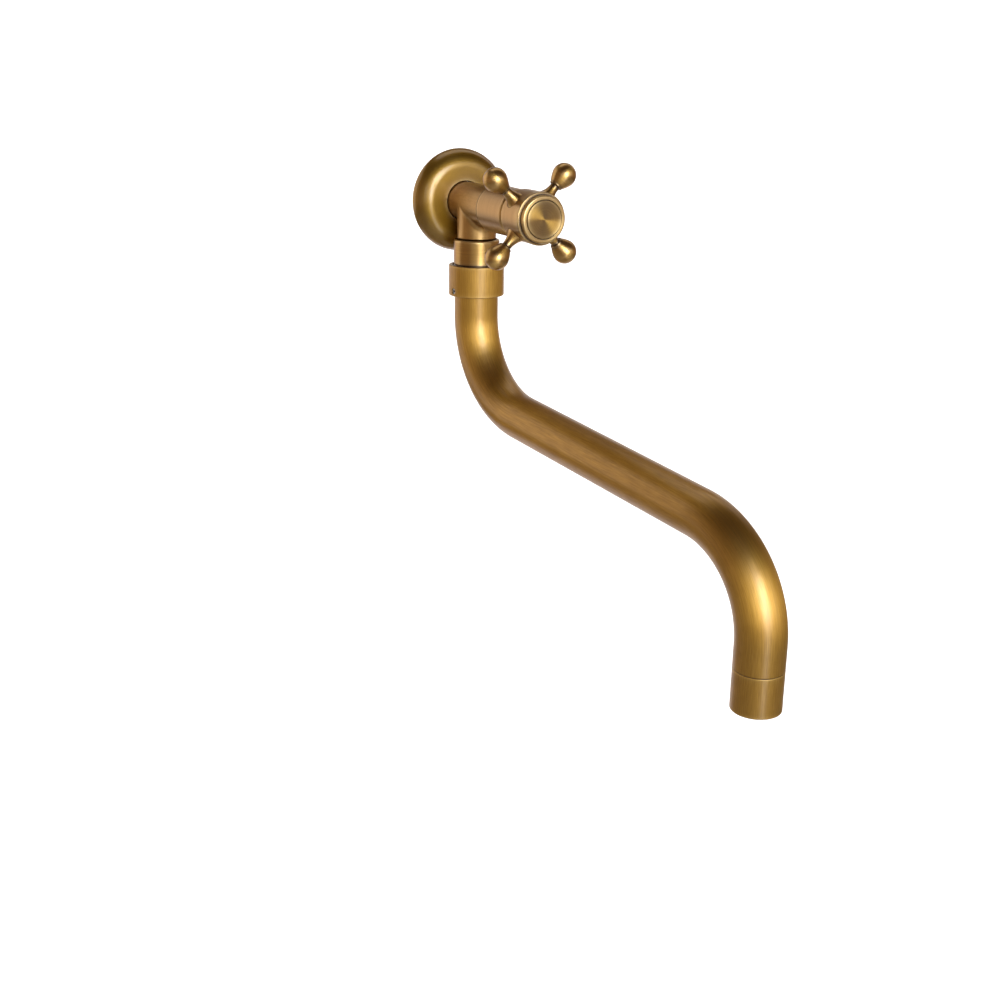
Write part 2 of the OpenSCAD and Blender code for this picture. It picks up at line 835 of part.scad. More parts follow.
module grub_screw() {
    from = stub_r - groove_depth + free_gap;
    to = collar_r - grub_sink;
    color(steel_grey) on_grub() difference() {
        translate([0, 0, from]) turned_bar(grub_r, to - from, grub_tip, 0);
        translate([0, 0, to - grub_socket_depth])
            cylinder(r = grub_socket_af / sqrt(3), h = grub_socket_depth + overrun, $fn = 6);
    }
}

// Places children at the mouth: z = 0 is the mouth's plane, +Z goes up into the tube
module at_mouth(z = 0) {
    in_spout_plane(mouth_z + z) translate([mouth_x, 0, 0]) children();
}

module spout_nipple() {
    outer_r = tube_bore_r - joint_gap / 2;
    color(raw_brass) at_mouth(nipple_low)
        pipe(outer_r, outer_r - nipple_wall, sleeve_l - nipple_low + nipple_in);
}

// The aerator's sleeve: flush with the tube, threaded above, an inner lip below
module aerator_sleeve() {
    color(brass) at_mouth() difference() {
        turned_bar(tube_r, sleeve_l, sleeve_edge, 0);
        translate([0, 0, -overrun])
            cylinder(r = tube_bore_r - sleeve_lip_w, h = sleeve_l + 2 * overrun);
        translate([0, 0, sleeve_lip_l]) cylinder(r = tube_bore_r + joint_gap / 2, h = sleeve_l);
    }
}

module aerator_washer() {
    color(rubber_black) at_mouth(sleeve_lip_l + insert_flange_t)
        pipe(tube_bore_r - joint_gap, insert_r - insert_rim, aerator_washer_t);
}

// The insert: a flanged cup whose floor has rings of round holes on a hexagonal grid
module aerator_insert() {
    floor_r = insert_r - insert_rim;
    color(nylon_white) at_mouth(insert_lift) difference() {
        union() {
            turned_bar(insert_r, sleeve_lip_l - insert_lift + insert_flange_t, bevel, 0);
            translate([0, 0, sleeve_lip_l - insert_lift])
                cylinder(r = tube_bore_r - joint_gap, h = insert_flange_t);
        }
        translate([0, 0, insert_plate_t]) cylinder(r = floor_r, h = sleeve_lip_l + insert_flange_t);
        translate([0, 0, -overrun]) linear_extrude(insert_plate_t + 2 * overrun)
            for (a = [-insert_rings : insert_rings], b = [-insert_rings : insert_rings])
                if (abs(a + b) <= insert_rings)
                    translate(insert_pitch * [a + b / 2, b * sin(60)]) circle(r = insert_hole_r, $fn = 24);
    }
}

// The screen: a round of wire mesh that rests on the insert's floor
module aerator_screen() {
    screen_r = insert_r - insert_rim - joint_gap;
    cell = screen_pitch - screen_wire;
    color(steel_grey) at_mouth(insert_lift + insert_plate_t) linear_extrude(screen_t) difference() {
        circle(r = screen_r);
        for (a = [-screen_cells : screen_cells], b = [-screen_cells : screen_cells])
            if (norm([a, b]) * screen_pitch < screen_r - screen_pitch)
                translate(screen_pitch * [a, b]) square(cell, center = true);
    }
}

escutcheon();
tee_body();
outlet_union();
union_washer();
swivel_seal(seal_upper_at);  // swivel_seal_upper
swivel_seal(seal_lower_at);  // swivel_seal_lower
slip_ring();
bonnet();
cartridge_housing();
cartridge_gasket();
seat_seal();
fixed_disc();
moving_disc();
spindle();
spindle_seals();
retaining_clip();
handle_hub();
handle_arm(0);  // arm_upper_right
handle_arm(1);  // arm_upper_left
handle_arm(2);  // arm_lower_left
handle_arm(3);  // arm_lower_right
handle_bezel();
handle_cap();
handle_screw();
screw_washer();
spout_tube();
spout_collar();
grub_screw();
spout_nipple();
aerator_sleeve();
aerator_washer();
aerator_insert();
aerator_screen();
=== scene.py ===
"""Garden tap in antique brushed brass: wall cover, cast tee, cross handle and a bent swinging spout.

Sizes are in millimetres and in the frame of the part's source: the origin is on the inlet's axis at the
wall, +Y goes into the wall and +Z is up. Each visible brass piece is a numpy surface that stands for its
plain solid, and the small inner pieces keep their solids with a better finish.
"""
import json
import math

import bmesh
import bpy
import numpy as np
from mathutils import Euler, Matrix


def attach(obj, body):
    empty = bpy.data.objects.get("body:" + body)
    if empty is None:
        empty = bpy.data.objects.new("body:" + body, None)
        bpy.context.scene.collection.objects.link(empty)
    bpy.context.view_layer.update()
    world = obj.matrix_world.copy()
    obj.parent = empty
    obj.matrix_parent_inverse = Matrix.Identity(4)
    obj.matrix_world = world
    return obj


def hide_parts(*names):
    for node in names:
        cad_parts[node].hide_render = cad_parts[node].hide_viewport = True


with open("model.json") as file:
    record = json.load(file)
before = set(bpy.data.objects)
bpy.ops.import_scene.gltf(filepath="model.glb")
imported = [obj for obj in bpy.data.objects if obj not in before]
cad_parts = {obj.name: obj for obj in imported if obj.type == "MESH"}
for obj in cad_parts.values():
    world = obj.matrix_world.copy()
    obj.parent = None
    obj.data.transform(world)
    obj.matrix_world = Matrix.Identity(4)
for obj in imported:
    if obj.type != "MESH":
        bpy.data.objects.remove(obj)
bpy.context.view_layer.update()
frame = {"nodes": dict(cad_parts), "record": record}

MM = 0.001
ROW = 1.0           # longest step along an outline, so that wear and patina can fade over it
CORNER_STEP = 12    # degrees of a fillet's turn that one facet takes
FACET = 0.28        # longest facet of a curve; only straight stretches are longer
FADE = 0.7          # how far an edge's wear and a corner's patina and painted shade reach
JOINT_GAP = 0.06    # between two fixed pieces
FREE_GAP = 0.3      # between pieces that pass each other freely
AROUND = 128        # facets round most turned pieces
AROUND_WIDE = 160
AROUND_SPOUT = 144
AROUND_ARM = 96


# Sizes of the body, counted outwards from the wall or down from the barrel's axis

BARREL_R = 10.65
THREAD_R = 10.4775      # outside of the G 1/2 pipe thread
THREAD_END = 4.5        # where the inlet's thread ends inside the wall cover
SHANK_L = 22.0          # inlet shank behind the wall's face
INLET_BORE_R = 6.5
BRANCH_REACH = 18.2     # from the barrel's axis down to the branch's end
CAST_FILLET = 4.0       # radius of the casting's fillet between barrel and branch
BONNET_R = 12.5
BONNET_WALL = 1.0
BONNET_OUT = 51.0       # from the wall to the bonnet's rear rim
BONNET_L = 29.0
BONNET_END = BONNET_OUT + BONNET_L
CHEST_L = 11.0          # valve chest, hidden under the bonnet
SPINDLE_R = 4.0

# Sizes of the wall cover and the handle

COVER_R = 27.9
COVER_T = 1.2
COVER_ROUND = 9.7       # radius of the cover's rounded rim
HUB_R = 13.0
HUB_L = 16.4
HUB_GAP = 2.0
HUB_OUT = BONNET_END + HUB_GAP
HUB_END = HUB_OUT + HUB_L
HUB_RIM = 2.3                           # wall round the recess in the hub's front
SPLINE_L = 11
HUB_WEB_T = 2.2
HUB_FLOOR = HUB_OUT + SPLINE_L + JOINT_GAP + HUB_WEB_T
ARM_BACK = 0.8                          # the arms sit this far behind the hub's middle
ARM_OUT = HUB_OUT + HUB_L / 2 - ARM_BACK
ARM_TURN = 47                           # degrees from x to the first arm
ARM_REACH = 33.0                        # from the handle's axis to an arm's tip
ARM_FOOT_R = 4.6
ARM_NECK_R = 2.4
ARM_SINK = 1.2                          # depth of the arms' flat seats in the hub
ARM_SEAT = HUB_R - ARM_SINK
BALL_R = 6.1
BEZEL_R = 13.1
BEZEL_BORE_R = 8.6
BEZEL_L = 6.3
BEZEL_END = HUB_END + BEZEL_L
CAP_R = 9.3
CAP_T = 1.5
CAP_PROUD = 0.4
CAP_SEAT = BEZEL_END + CAP_PROUD - CAP_T

# Sizes of the swivel, counted down from the barrel's axis

TUBE_R = 12.0
TUBE_WALL = 1.0
SWIVEL_OUT = 24.0       # from the wall to the axis that the spout swings about
UNION_R = 12.5
UNION_GAP = 0.6
UNION_SHOW = 13.7
UNION_HIDDEN = 2.6      # the part of the union that the collar covers
UNION_TOP = BRANCH_REACH + UNION_GAP
UNION_SHOULDER = UNION_TOP + UNION_SHOW + UNION_HIDDEN
COLLAR_R = 15.2
COLLAR_H = 16.5
COLLAR_TOP = UNION_TOP + UNION_SHOW
COLLAR_END = COLLAR_TOP + COLLAR_H
SLIP_RING_T = 1.0
TUBE_TOP = UNION_SHOULDER + SLIP_RING_T
SWIVEL_GAP = 0.08
STUB_R = TUBE_R - TUBE_WALL - SWIVEL_GAP
GRUB_R = 1.5
GRUB_EDGE = 1.3         # from the grub screw's hole to the collar's lower end
GRUB_AT = COLLAR_END - GRUB_R - GRUB_EDGE

# Sizes of the spout, in its own upright plane: x outwards, z up

SPOUT_TURN = -80        # degrees from the world's x to the spout's plane
BEND_R = 50.0           # at the middle of the tube
BEND_ANGLE = math.radians(84)
NECK_L = 11.0           # straight tube between the collar and the first bend
RUN_L = 140.0           # straight tube between the bends
DROP_L = 32.0           # from the second bend down to the mouth
SLEEVE_L = 20.0         # aerator sleeve at the mouth
SNUG = 0.01             # the shown spout is this much shorter, so that it stays inside its solid's box
ACROSS_BEND = BEND_R * np.array([math.cos(BEND_ANGLE), math.sin(BEND_ANGLE)])
FIRST_BEND = np.array([BEND_R, -COLLAR_END - NECK_L])
RUN_START = FIRST_BEND - ACROSS_BEND
RUN_END = RUN_START + (RUN_L - SNUG) * np.array([math.sin(BEND_ANGLE), -math.cos(BEND_ANGLE)])
SECOND_BEND = RUN_END - ACROSS_BEND
MOUTH_X = SECOND_BEND[0] + BEND_R
MOUTH_Z = SECOND_BEND[1] - DROP_L + SNUG / 2
SLEEVE_TOP = SECOND_BEND[1] - DROP_L + SLEEVE_L


# Places

def place(x, y, z, origin):
    """Where local x, y and z point, as the rows of a matrix, and where the local origin lies."""
    return np.array([x, y, z], float), np.array(origin, float)


OUTWARD = place((1, 0, 0), (0, 0, 1), (0, -1, 0), (0, 0, 0))    # local z is the distance from the wall
SWIVEL = place((1, 0, 0), (0, 1, 0), (0, 0, 1), (0, -SWIVEL_OUT, 0))


def spout_place(out=0.0):
    """The spout's own plane, with the local origin moved out along it from the swivel's axis."""
    c, s = math.cos(math.radians(SPOUT_TURN)), math.sin(math.radians(SPOUT_TURN))
    return place((c, s, 0), (-s, c, 0), (0, 0, 1), (out * c, out * s - SWIVEL_OUT, 0))


def arm_place(lean):
    """Local z runs out along the arm, which leans by that many degrees from upright."""
    c, s = math.cos(math.radians(lean)), math.sin(math.radians(lean))
    return place((c, 0, -s), (0, 1, 0), (s, 0, c), (0, -ARM_OUT, 0))


# Outlines: each is half a section, as points (distance from the axis, height along it)

def arc(centre, radius, start, end):
    """Points on a circle from the start angle to the end angle, in degrees."""
    steps = max(3, math.ceil(math.radians(abs(end - start)) * radius / FACET))
    turn = np.radians(np.linspace(start, end, steps + 1))
    return np.stack([centre[0] + radius * np.cos(turn), centre[1] + radius * np.sin(turn)], axis=1)


def rounded(corners, closed=True):
    """Outline through corners (r, z, fillet). A fillet's arc touches both sides of its corner: it begins and
    ends fillet / tan(half the corner's angle) from it, and its centre lies fillet / sin(half) along the
    bisector. A corner that hardly turns stays a point."""
    points = np.array([c[:2] for c in corners], float)
    line = []
    for i, (r, z, fillet) in enumerate(corners):
        corner = points[i]
        if not closed and i in (0, len(corners) - 1):
            line.append(corner)
            continue
        back = points[i - 1] - corner
        ahead = points[(i + 1) % len(corners)] - corner
        reach = min(np.linalg.norm(back), np.linalg.norm(ahead))
        back /= np.linalg.norm(back)
        ahead /= np.linalg.norm(ahead)
        half = math.acos(np.clip(back @ ahead, -1, 1)) / 2
        if half > math.radians(88):
            line.append(corner)
            continue
        touch = min(max(fillet, 0.05) / math.tan(half), reach * 0.49)
        size = touch * math.tan(half)
        middle = (back + ahead) / np.linalg.norm(back + ahead)
        centre = corner + middle * size / math.sin(half)
        spread = math.pi - 2 * half
        steps = max(2, math.ceil(math.degrees(spread) / CORNER_STEP), math.ceil(spread * size / FACET))
        share = np.linspace(0, 1, steps + 1)[:, None]
        start = (corner + back * touch - centre) / size
        end = (corner + ahead * touch - centre) / size
        swing = (np.sin((1 - share) * spread) * start + np.sin(share * spread) * end) / math.sin(spread)
        line.extend(centre + size * swing)
    if closed:
        line.append(line[0])
    return np.array(line)


def spaced(line, step=ROW):
    """The same line with points at most a step apart, and one close to each end of every long stretch, so
    that smooth shading keeps the flats flat."""
    close = 0.03
    out = [line[0]]
    for start, end in zip(line[:-1], line[1:]):
        length = float(np.linalg.norm(end - start))
        if length < 1e-6:
            continue
        shares = np.array([0, 1])
        if length > FACET * 1.05:
            shares = np.linspace(0, 1, math.ceil(length / step) + 1)
            shares = np.unique(np.concatenate([shares, [close / length, 1 - close / length]]))
        out.extend(start + (end - start) * share for share in shares[1:])
    return np.array(out)


def run_length(line):
    """The length along the line up to each of its points."""
    return np.concatenate([[0], np.cumsum(np.linalg.norm(np.diff(line, axis=0), axis=1))])


def edge_wear_and_corner_shade(line, closed):
    """Wear where the outline turns outwards, and patina with painted shade where it turns inwards, each the
    sum of the turns nearby times exp(-distance / FADE), at most 1."""
    steps = np.diff(line, axis=0)
    heading = np.unwrap(np.arctan2(steps[:, 1], steps[:, 0]))
    turn = np.zeros(len(line))
    turn[1:-1] = np.diff(heading)
    if closed:
        last = (heading[0] - heading[-1] + math.pi) % (2 * math.pi) - math.pi
        turn[0] = turn[-1] = last / 2
    where = run_length(line)
    near = np.exp(-np.abs(where[:, None] - where[None, :]) / FADE)
    wear = near @ np.maximum(turn, 0)
    # Patina and painted shade: the inward corners and creases darken, partly as real patina and partly as the
    # shade that falls in them.
    patina_and_shade = near @ np.maximum(-turn, 0)
    return np.clip(wear, 0, 1), np.clip(patina_and_shade, 0, 1)


# Sheets: grids of points with the turn and the length that each finish follows

def sheet(points, around, along, reach, wear, patina_and_shade, keep=None):
    """One grid. Its brush coordinates are (reach cos turn, reach sin turn, length): the surface straightened
    out, so that a grain can run along a bend with no seam."""
    turn = around * 2 * math.pi
    brush = np.stack([reach * np.cos(turn), reach * np.sin(turn), along], axis=-1)
    return {"points": points, "uv": np.stack([around, along * MM], axis=-1), "brush": brush,
            "wear": wear, "patina_and_shade": patina_and_shade, "keep": keep}


def turned(line, where, around=AROUND, closed=True, relief=None, step=ROW, keep=None):
    """Surface of revolution: point = (r cos a, r sin a, z) for each outline point (r, z) and angle a, less
    what relief(r, z, a) takes off the radius. With no step the outline's own points are the rows."""
    line = spaced(line, step) if step else line
    turn = np.linspace(0, 2 * math.pi, around + 1)
    r = line[:, 0][:, None] + 0 * turn
    z = line[:, 1][:, None] + 0 * turn
    if relief is not None:
        r = r - relief(r, z, turn[None, :] + 0 * r)
    points = np.stack([r * np.cos(turn), r * np.sin(turn), z], axis=-1)
    wear, patina_and_shade = edge_wear_and_corner_shade(line, closed)
    ones = np.ones_like(r)
    axes, origin = where
    return sheet(points @ axes + origin, ones * turn / (2 * math.pi), run_length(line)[:, None] * ones,
                 line[:, 0].max(), wear[:, None] * ones, patina_and_shade[:, None] * ones, keep)


def carried(path, headings, radii, lengths, where, around, seams):
    """A circle carried along a path in the plane y = 0: point = path + radius (cos a side + sin a across),
    where across is local y and side is across times the heading. Patina and painted shade gather at the
    seams' lengths."""
    seam_reach = 0.3
    turn = np.linspace(0, 2 * math.pi, around + 1)[None, :, None]
    across = np.array([0, 1, 0], float)
    side = np.cross(across, headings)[:, None, :]
    points = path[:, None, :] + radii[:, None, None] * (np.cos(turn) * side + np.sin(turn) * across)
    ones = np.ones(points.shape[:2])
    # Painted shade with patina: the tube darkens where it runs into the collar and into the sleeve.
    gathered = sum(np.exp(-np.abs(lengths - at) / seam_reach) for at in seams)
    axes, origin = where
    return sheet(points @ axes + origin, ones * turn[:, :, 0] / (2 * math.pi), lengths[:, None] * ones,
                 radii.max(), 0 * ones, gathered[:, None] * ones)


def pocket(line, around, where, spans, angle, height, radius, floor):
    """A round pocket sunk square into a turned wall of radius R. Rings join the window's edge to the
    pocket's mouth, on the wall at distance sqrt(R^2 - w^2) from the axis for an offset w, and then to its
    flat floor."""
    low, high, left, right = spans
    wall = line[:, 0].max()
    columns = np.arange(left, right + 1)
    rows = np.arange(low, high + 1)
    edge = [(low, c) for c in columns] + [(r, right) for r in rows[1:]]
    edge += [(high, c) for c in columns[::-1][1:]] + [(r, left) for r in rows[::-1][1:]]
    turn = np.radians(np.array([c for _, c in edge]) * 360 / around - angle)
    w = wall * np.sin(turn)
    h = line[[r for r, _ in edge], 1] - height
    size = np.hypot(w, h)
    ring_w, ring_h = w / size, h / size
    lip = 0.12
    across = [w + (ring_w * (radius + lip) - w) * share for share in (0, 0.35, 0.7)]
    up = [h + (ring_h * (radius + lip) - h) * share for share in (0, 0.35, 0.7)]
    deep = [0, 0, 0]
    for ring, depth in ((radius + lip, 0), (radius + lip / 3, 0.1 * lip), (radius, lip), (radius, 0.5),
                        (radius, 0.99), (radius - 0.03, 1), (radius * 0.5, 1), (0, 1)):
        across.append(ring_w * ring)
        up.append(ring_h * ring)
        deep.append(depth)
    across = np.array(across)
    up = np.array(up)
    deep = np.array(deep)[:, None]
    out = np.sqrt(wall ** 2 - across ** 2) * (1 - deep) + floor * deep
    facing = np.radians(angle)
    x = out * math.cos(facing) - across * math.sin(facing)
    y = out * math.sin(facing) + across * math.cos(facing)
    points = np.stack([x, y, up + height], axis=-1)
    axes, origin = where
    ones = np.ones_like(x)
    around_share = np.arctan2(y, x) / (2 * math.pi)
    # Painted shade and patina: the pocket darkens with its depth, fully from a third of the way down.
    dark = np.clip(deep * 3, 0, 1) * ones
    return sheet(points @ axes + origin, around_share, up + height, wall, 0 * ones, dark)


def pocketed(line, where, around, angles, height, window, radius, floor):
    """Sheets of a turned wall with round pockets at some angles: the wall, with a window left open for each
    pocket, and the pockets. The window is half its angle in degrees and half its height."""
    half_angle, half_height = window
    on_wall = line[:, 0] > line[:, 0].max() - 0.01
    rows = np.flatnonzero(on_wall & (np.abs(line[:, 1] - height) < half_height))
    keep = np.ones((len(line) - 1, around), bool)
    pockets = []
    for angle in angles:
        left = round((angle - half_angle) / 360 * around)
        right = round((angle + half_angle) / 360 * around)
        keep[rows[0]:rows[-1], left:right] = False
        spans = (rows[0], rows[-1], left, right)
        pockets.append(pocket(line, around, where, spans, angle, height, radius, floor))
    return [turned(line, where, around, step=None, keep=keep)] + pockets


def brass_piece(name, body, finish, sheets):
    """Puts the sheets into one mesh, welds seams and poles, and lets it ride in place of its solid."""
    points, faces, uvs, brush, wear, patina_and_shade = [], [], [], [], [], []
    first = 0
    for grid in sheets:
        rows, cols = grid["points"].shape[:2]
        number = first + np.arange(rows * cols).reshape(rows, cols)
        quads = np.stack([number[:-1, :-1], number[:-1, 1:], number[1:, 1:], number[1:, :-1]], axis=-1)
        if grid["keep"] is not None:
            quads = quads[grid["keep"]]
        faces.append(quads.reshape(-1, 4))
        points.append(grid["points"].reshape(-1, 3) * MM)
        uvs.append(grid["uv"].reshape(-1, 2))
        brush.append(grid["brush"].reshape(-1, 3) * MM)
        wear.append(grid["wear"].ravel())
        patina_and_shade.append(grid["patina_and_shade"].ravel())
        first += rows * cols
    faces = np.concatenate(faces)
    mesh = bpy.data.meshes.new(name + "_skin")
    mesh.from_pydata(np.concatenate(points), [], faces.tolist())
    mesh.uv_layers.new(name="around_along")
    mesh.uv_layers[0].data.foreach_set("uv", np.concatenate(uvs)[faces.ravel()].ravel())
    for key, kind, field, values in (("brush", "FLOAT_VECTOR", "vector", brush),
                                     ("wear", "FLOAT", "value", wear), ("patina_and_shade", "FLOAT", "value", patina_and_shade)):
        mesh.attributes.new(key, kind, "POINT").data.foreach_set(field, np.concatenate(values).ravel())
    weld = bmesh.new()
    weld.from_mesh(mesh)
    bmesh.ops.remove_doubles(weld, verts=weld.verts, dist=2e-6)
    bmesh.ops.dissolve_degenerate(weld, edges=weld.edges, dist=1e-7)
    weld.to_mesh(mesh)
    weld.free()
    mesh.shade_smooth()
    mesh.materials.append(finish)
    piece = bpy.data.objects.new(name + "_skin", mesh)
    bpy.context.scene.collection.objects.link(piece)
    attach(piece, body)
    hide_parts(name)


# Finishes

def linear(hex_colour):
    """An sRGB colour such as #C8A060 as the linear colour that the shaders take."""
    parts = [int(hex_colour[i:i + 2], 16) / 255 for i in (1, 3, 5)]
    return tuple(p / 12.92 if p <= 0.04045 else ((p + 0.055) / 1.055) ** 2.4 for p in parts) + (1.0,)


def scale_for(width):
    """The scale at which noise on coordinates in metres draws features of that width in millimetres."""
    return 1 / (width * MM)


def add(tree, kind, inputs=None, **settings):
    """Adds a node with its settings, and sets or links its inputs."""
    node = tree.nodes.new(kind)
    for key, value in settings.items():
        setattr(node, key, value)
    for socket, value in (inputs or {}).items():
        if isinstance(value, bpy.types.NodeSocket):
            tree.links.new(value, node.inputs[socket])
        else:
            node.inputs[socket].default_value = value
    return node


def new_finish(name):
    """A new material, its node tree and its shader."""
    finish = bpy.data.materials.new(name)
    finish.use_nodes = True
    tree = finish.node_tree
    return finish, tree, tree.nodes["Principled BSDF"]


# Dark brown of the patina in hollows, used also as painted shade in corners, seams, pockets and round the
# barrel.
PATINA_AND_SHADE = "#2E1A0A"
GRAZING = "#8E7860"      # the oxide under the lacquer dulls the metal where it is seen edge on
RUBBED = "#DCBC82"       # bare brass on the worn edges
PATCH_W = 11.11          # width in millimetres of the toning's uneven patches


def grained(name, base, shade, widths, rough, rough_spread, bump, turn=None, anisotropy=0.0, coat=0.0,
            coat_rough=0.3, rubbed=RUBBED):
    """Lacquered brass with a directional grain. The widths are those of the grain's features along the three
    brush coordinates, so that the noise draws lines along the length or round the axis; the same lines move
    the colour, the roughness and the bump."""
    finish, tree, shader = new_finish(name)
    brush = add(tree, "ShaderNodeAttribute", attribute_name="brush").outputs["Vector"]
    wear = add(tree, "ShaderNodeAttribute", attribute_name="wear").outputs["Fac"]
    patina_and_shade = add(tree, "ShaderNodeAttribute", attribute_name="patina_and_shade").outputs["Fac"]
    grain = tuple(scale_for(width) for width in widths)
    stretched = add(tree, "ShaderNodeMapping", {"Vector": brush, "Scale": grain}).outputs["Vector"]
    lines = add(tree, "ShaderNodeTexNoise", {"Vector": stretched, "Scale": 1.0, "Detail": 4.0,
                                             "Roughness": 0.65})
    cloud = add(tree, "ShaderNodeTexNoise", {"Vector": brush, "Scale": scale_for(PATCH_W), "Detail": 3.0})
    cloud = cloud.outputs["Fac"]
    line = add(tree, "ShaderNodeMapRange", {"Value": lines.outputs["Fac"], "From Min": 0.3, "From Max": 0.7})
    line = line.outputs["Result"]
    tone = add(tree, "ShaderNodeMix", {"Factor": line, "A": linear(shade), "B": linear(base)},
               data_type="RGBA")
    uneven = add(tree, "ShaderNodeMapRange", {"Value": cloud, "From Min": 0.35, "From Max": 0.7,
                                              "To Max": 0.45})
    darker = add(tree, "ShaderNodeMix", {"Factor": uneven.outputs["Result"], "A": tone.outputs["Result"],
                                         "B": linear(shade)}, data_type="RGBA")
    worn_share = add(tree, "ShaderNodeMath", {0: wear, 1: cloud}, operation="MULTIPLY", use_clamp=True)
    worn = add(tree, "ShaderNodeMix", {"Factor": worn_share.outputs[0], "A": darker.outputs["Result"],
                                       "B": linear(rubbed)}, data_type="RGBA")
    # Patina and painted shade darken the tone by up to 0.85 towards that dark brown.
    deep = add(tree, "ShaderNodeMath", {0: patina_and_shade, 1: 0.85}, operation="MULTIPLY", use_clamp=True)
    final = add(tree, "ShaderNodeMix", {"Factor": deep.outputs[0], "A": worn.outputs["Result"],
                                        "B": linear(PATINA_AND_SHADE)}, data_type="RGBA")
    dull = add(tree, "ShaderNodeMapRange", {"Value": line, "To Min": rough + rough_spread,
                                            "To Max": rough - rough_spread})
    relief = add(tree, "ShaderNodeBump", {"Height": line, "Strength": bump, "Distance": 0.1 * MM})
    tree.links.new(final.outputs["Result"], shader.inputs["Base Color"])
    tree.links.new(dull.outputs["Result"], shader.inputs["Roughness"])
    tree.links.new(relief.outputs["Normal"], shader.inputs["Normal"])
    shader.inputs["Metallic"].default_value = 1.0
    shader.inputs["Anisotropic"].default_value = anisotropy
    shader.inputs["Coat Weight"].default_value = coat
    shader.inputs["Coat Roughness"].default_value = coat_rough
    shader.inputs["Coat IOR"].default_value = 1.6
    shader.inputs["Specular Tint"].default_value = linear(GRAZING)
    if anisotropy:
        tangent = add(tree, "ShaderNodeTangent", direction_type="UV_MAP", uv_map="around_along")
        tree.links.new(tangent.outputs["Tangent"], shader.inputs["Tangent"])
        shader.inputs["Anisotropic Rotation"].default_value = turn
    return finish


# Shares of a full turn by which a highlight's spread is turned from the way round the axis
LENGTHWISE_TURN = 0.0
ROUND_TURN = 0.25


def lengthwise_brushed_brass():
    """Antique brass tube, drawn, brushed lengthwise with a fine belt and lacquered: soft highlights that
    spread across the tube, with fine lines along it. A belt line is 0.05 mm wide, and is drawn some ten
    times as wide to show."""
    return grained("antique brass brushed lengthwise", "#BE9240", "#A0762A", widths=(0.5263, 0.5263, 11.11),
                   rough=0.5, rough_spread=0.06, bump=0.35, turn=LENGTHWISE_TURN, anisotropy=0.65, coat=0.65,
                   rubbed="#CCA65E")


def lathe_turned_brass():
    """Antique brass turned and brushed on the lathe: fine rings round the axis, and highlights that fan out
    from it. Tool marks 0.08 mm apart are drawn 0.45 mm apart to show."""
    return grained("antique brass lathe turned", "#BE9448", "#A07832", widths=(16.67, 16.67, 0.4545),
                   rough=0.36, rough_spread=0.05, bump=0.15, turn=ROUND_TURN, anisotropy=0.7, coat=0.8)


def spun_sheet_brass():
    """Antique brass sheet, spun over a former and polished before it was toned: an olive gold, darker than
    the other brass as painted shade for the dim room that its face reflects, with a clear soft highlight and
    no lines that show. The spinning's shallow waves are 3.3 mm apart."""
    # Painted shade: both colours are darkened below the other brass's for the dark surroundings the face
    # reflects.
    return grained("antique brass spun cover", "#906C18", "#846012", widths=(11.11, 11.11, 3.333),
                   rough=0.46, rough_spread=0.03, bump=0.006, coat=0.7, coat_rough=0.2)


def faced_brass():
    """Antique brass disc, faced on the lathe with a fine feed and left bright: light gathers in two wedges
    through the centre. Its colours are darker than the other brass's, as painted shade for the dim room it
    reflects. The feed marks, 0.05 mm apart, are drawn 0.3 mm apart to show."""
    # Painted shade: both colours are darkened to stand for the dark surroundings the disc reflects.
    return grained("antique brass faced disc", "#8E6C30", "#7A5A24", widths=(25, 25, 0.303),
                   rough=0.4, rough_spread=0.03, bump=0.06, turn=ROUND_TURN, anisotropy=0.97, coat=0.6)


def satin_turned_brass():
    """Antique brass turned, then blasted matt under lacquer: an even satin with faint rings and no sparkle.
    The rings, 0.1 mm apart, are drawn 0.67 mm apart to show."""
    return grained("antique brass satin turned", "#B8925C", "#AA844E", widths=(20, 20, 0.6667),
                   rough=0.4, rough_spread=0.02, bump=0.02, turn=ROUND_TURN, anisotropy=0.3, coat=0.6)


def blasted_cast_brass():
    """Cast antique brass, blasted and lightly brushed: broad satin highlights with a faint mottle and no
    lines. The blasting's dimples, 0.1 mm wide, are drawn 1.4 mm wide to show."""
    return grained("antique brass cast and blasted", "#C29A5A", "#AC8448", widths=(1.429, 1.429, 3.846),
                   rough=0.38, rough_spread=0.04, bump=0.12, coat=0.7)


def plain_finish(name, colour, shade, metallic, rough, width, bump):
    """A finish without direction: noise of that width in millimetres mixes two tones and lifts a faint
    relief. Each width is drawn coarser than the real surface's, which would not show."""
    rough_spread = 0.06
    finish, tree, shader = new_finish(name)
    where = add(tree, "ShaderNodeTexCoord").outputs["Object"]
    noise = add(tree, "ShaderNodeTexNoise", {"Vector": where, "Scale": scale_for(width), "Detail": 5.0})
    noise = noise.outputs["Fac"]
    tone = add(tree, "ShaderNodeMix", {"Factor": noise, "A": linear(colour), "B": linear(shade)},
               data_type="RGBA")
    dull = add(tree, "ShaderNodeMapRange", {"Value": noise, "To Min": rough - rough_spread,
                                            "To Max": rough + rough_spread})
    relief = add(tree, "ShaderNodeBump", {"Height": noise, "Strength": bump, "Distance": 0.1 * MM})
    tree.links.new(tone.outputs["Result"], shader.inputs["Base Color"])
    tree.links.new(dull.outputs["Result"], shader.inputs["Roughness"])
    tree.links.new(relief.outputs["Normal"], shader.inputs["Normal"])
    shader.inputs["Metallic"].default_value = metallic
    return finish


